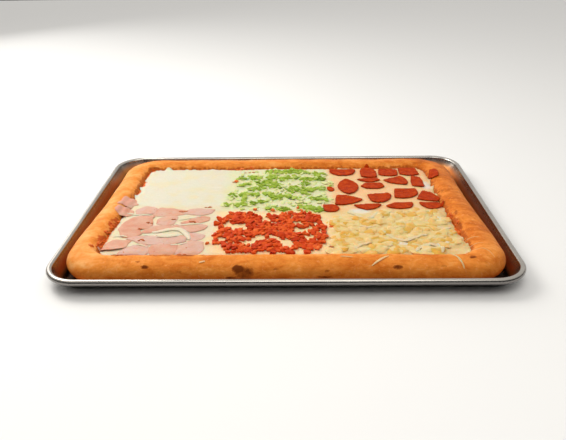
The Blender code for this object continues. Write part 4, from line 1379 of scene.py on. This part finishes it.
# %% Scatter the pineapple
def baked_pineapple():
    """Golden fruit under patches of melted cheese."""
    fruit = moist("baked_pineapple", 0.4, 0.35, 0.004, 0.15)
    tone = fruit.ramp(fruit.mottled("shade", fruit.grain(110, 3), 0.6), (0.0, "D89E3C"),
                      (0.4, "DDA94E"), (0.75, "E2BC76"), (1.0, "E4C890"))
    melted = fruit.step(fruit.grain(55, 3, 0.55, 0.8, (0.7, 1.4, 1)), 0.50, 0.64)
    tone = fruit.cover(tone, "E6D2A4", melted, 0.5)
    return fruit.done(tone, (fruit.grain(240, 4, 0.6, 0.5, (1, 3, 1)), 0.5 * MM))


rng = random.Random(17)
bm = bmesh.new()
shade = bm.verts.layers.float.new("shade")
for x, y in pineapple_places:
    size = (rng.uniform(16, 27) * MM, rng.uniform(13, 20) * MM, rng.uniform(5.4, 6.8) * MM)
    place = (x * MM, y * MM, cheese_level(x * MM, y * MM) + rng.uniform(0.2, 1.0) * MM)
    tone = rng.uniform(0.2, 0.95)
    for vert in add_lump(bm, place, size, random_turn(rng, 0.12), rng.uniform(0, 50), 3, 0.45):
        vert[shade] = tone
add_piece("pineapple_tidbits", bm, baked_pineapple(), ["pineapple"])
print("tidbits:", len(pineapple_places))

# %% [markdown]
# ## Shreds of cheese on top
# Some shreds landed last: a hooked one among the ham, bands between the scraps, and
# long threads baked onto the crust at the right. Each is a soft ribbon, a flattened
# ring of points carried along a smooth curve and closed at both ends.

# %% Lay the shreds
RIBBONS = (
    ((-200, -100), (-188, -97), (-174, -91), (-161, -91), (-151, -100), (-144, -112),
     (-140, -124), 11.0, 3.0, 0),
    ((-211, -106), (-199, -108), (-186, -111), (-172, -113), (-158, -108), (-152, -106),
     11.0, 2.0, 0),
    ((-253, -35), (-233, -41), (-213, -43), 5.0, 1.2, 0),
    ((-167, -59), (-154, -54), (-139, -49), (-133, -47), 6.0, 1.3, 0),
    ((-170, -70), (-157, -77), (-144, -75), (-126, -73), 5.0, 1.2, 0),
    ((-224, -144), (-217, -138), (-206, -141), (-196, -147), 3.0, 1.2, 0),
    ((-165, -140), (-153, -138), (-142, -133), 5.0, 1.2, 0),
    ((-256, -114), (-248, -111), (-233, -115), 4.0, 1.2, 0),
    ((145, -102), (157, -123), (173, -134), (191, -124), (210, -114), 7.5, 1.0, 0.25),
    ((183, -166), (192, -152), (207, -144), (221, -154), (220, -166), 8.0, 1.5, 0.1),
    ((101, -156), (113, -140), (125, -138), 6.0, 1.2, 0.3),
    ((112, -88), (124, -90), (137, -88), 6.0, 1.2, 0.3),
    ((127, -58), (138, -50), (147, -35), 7.0, 1.4, 0),
    ((98, -34), (110, -42), (121, -54), 7.0, 1.4, 0),
    ((229, -86), (239, -93), (251, -86), 6.0, 1.3, 0.1),
    ((142, -187), (129, -195), (117, -204), 4.2, 0.7, 0.75),
    ((228, -181), (234, -188), (238, -199), (240, -207), 3.2, 0.7, 0.7),
    ((252, -126), (265, -129), (279, -135), 1.3, 0.5, 0.8),
    ((256, -149), (268, -149), (279, -153), 1.1, 0.5, 0.9),
    ((251, -169), (271, -167), (280, -173), (286, -186), 1.1, 0.5, 0.8),
    ((76, -188), (84, -189), (93, -190), 2.5, 0.8, 0.7),
    ((-115, -198), (-111, -197), (-107, -196), 4.5, 0.5, 0.9),
    ((90, -4), (76, 4), (70, 12), 2.0, 0.9, 0.2),
)
BAKED_SHRED = srgb("F0B070")
ROUTE_STEPS = 6
RIBBON_SIDES = 8


def add_ribbon(bm, points, width, height, reader):
    """A soft ribbon laid along a route, with pointed ends."""
    route = [on_curve(points, number / ROUTE_STEPS)
             for number in range(ROUTE_STEPS * (len(points) - 1) + 1)]
    rings = []
    for index, point in enumerate(route):
        ahead = route[min(index + 1, len(route) - 1)] - route[max(index - 1, 0)]
        across = Vector((-ahead.y, ahead.x)).normalized()
        along = index / (len(route) - 1)
        body = max(math.sin(math.pi * along), 0.0) ** 0.45 * 0.9 + 0.1
        body *= 1 + 0.2 * swell(point.x, point.y, 0.006, 3.0)
        ground = reader(point.x, point.y) + 0.1 * MM
        ring = []
        for number in range(RIBBON_SIDES):
            angle = math.tau * number / RIBBON_SIDES
            side = point + across * math.cos(angle) * width * body / 2
            ring.append((*side, ground + (0.35 + math.sin(angle)) * height * body / 2))
        rings.append(ring)
    part = bmesh.new()
    bridge_rings(part, rings)
    mesh = to_mesh("ribbon", part)
    bm.from_mesh(mesh)
    bpy.data.meshes.remove(mesh)


SHREDS_LIE_ON = ("baked_crust", "cheese_sheet", "scrap_of", "pineapple_tidbits")
topping_height = surface_reader([item for item in bpy.data.objects
                                 if item.name.startswith(SHREDS_LIE_ON)])
bm = bmesh.new()
tint = bm.verts.layers.float_color.new("tint")
for *corners, width, height, browned in RIBBONS:
    before = len(bm.verts)
    add_ribbon(bm, [Vector(corner) * MM for corner in corners], width * MM, height * MM,
               topping_height)
    bm.verts.ensure_lookup_table()
    for vert in bm.verts[before:]:
        pale = mix_colour(section_tint(vert.co.x, vert.co.y), SECTION_TINTS["plain"], 0.45)
        vert[tint] = (*mix_colour(pale, BAKED_SHRED, browned)[:3], 1.0)
add_piece("cheese_shreds", bm, cheese_skin, sharp=0)
print("shreds:", len(RIBBONS))

# %% [markdown]
# ## Flecks of sauce and painted shadows
# Wherever the cheese ran thin or a scrap lifted, a little sauce came up and baked to a
# dark red fleck. A handful of small flat lumps, each at its own mark, are enough, and
# they keep the sections from looking too clean. Three marks among the ham, at about
# x −210, are painted shadows: the same dark lumps, put where shade falls by the scraps.

# %% Drop the flecks of sauce and the painted shadows
# Marks: x, y, reach and count; (−209, −70), (−220, −89) and (−210, −126) are painted shadows.
SAUCE_FLECKS_AND_SHADOWS = (
    (-143, -67, 8, 4), (-209, -70, 5, 3), (-220, -89, 6, 3), (-164, -30, 5, 3),
    (-124, -15, 8, 4), (-210, -126, 5, 3), (-89, 87, 5, 4), (-190, -112, 5, 2),
    (-72, 130, 10, 3), (-60, 132, 5, 2), (-24, 135, 8, 3), (67, -152, 4, 2),
    (-228, -181, 14, 5), (-140, -178, 12, 5), (150, -60, 3, 1), (-176, -58, 4, 2),
)
rng = random.Random(29)
bm = bmesh.new()
for x, y, reach, count in SAUCE_FLECKS_AND_SHADOWS:
    for _ in range(count):
        px, py = (x + rng.gauss(0, reach * 0.4)) * MM, (y + rng.gauss(0, 1.2)) * MM
        size = rng.uniform(3.0, 6.5) * MM
        add_lump(bm, (px, py, topping_height(px, py) + 0.3 * MM), (size, size * 0.5, 1.4 * MM),
                 Matrix.Rotation(rng.gauss(0, 0.4), 3, "Z"), rng.uniform(0, 9))
# The same dark sauce colours serve the flecks and the painted shadows.
baked_sauce = tomato_sauce("baked_sauce", "A04A20", "BC6030", "D07C48")
add_piece("sauce_flecks", bm, baked_sauce)
print("groups of flecks:", len(SAUCE_FLECKS_AND_SHADOWS))
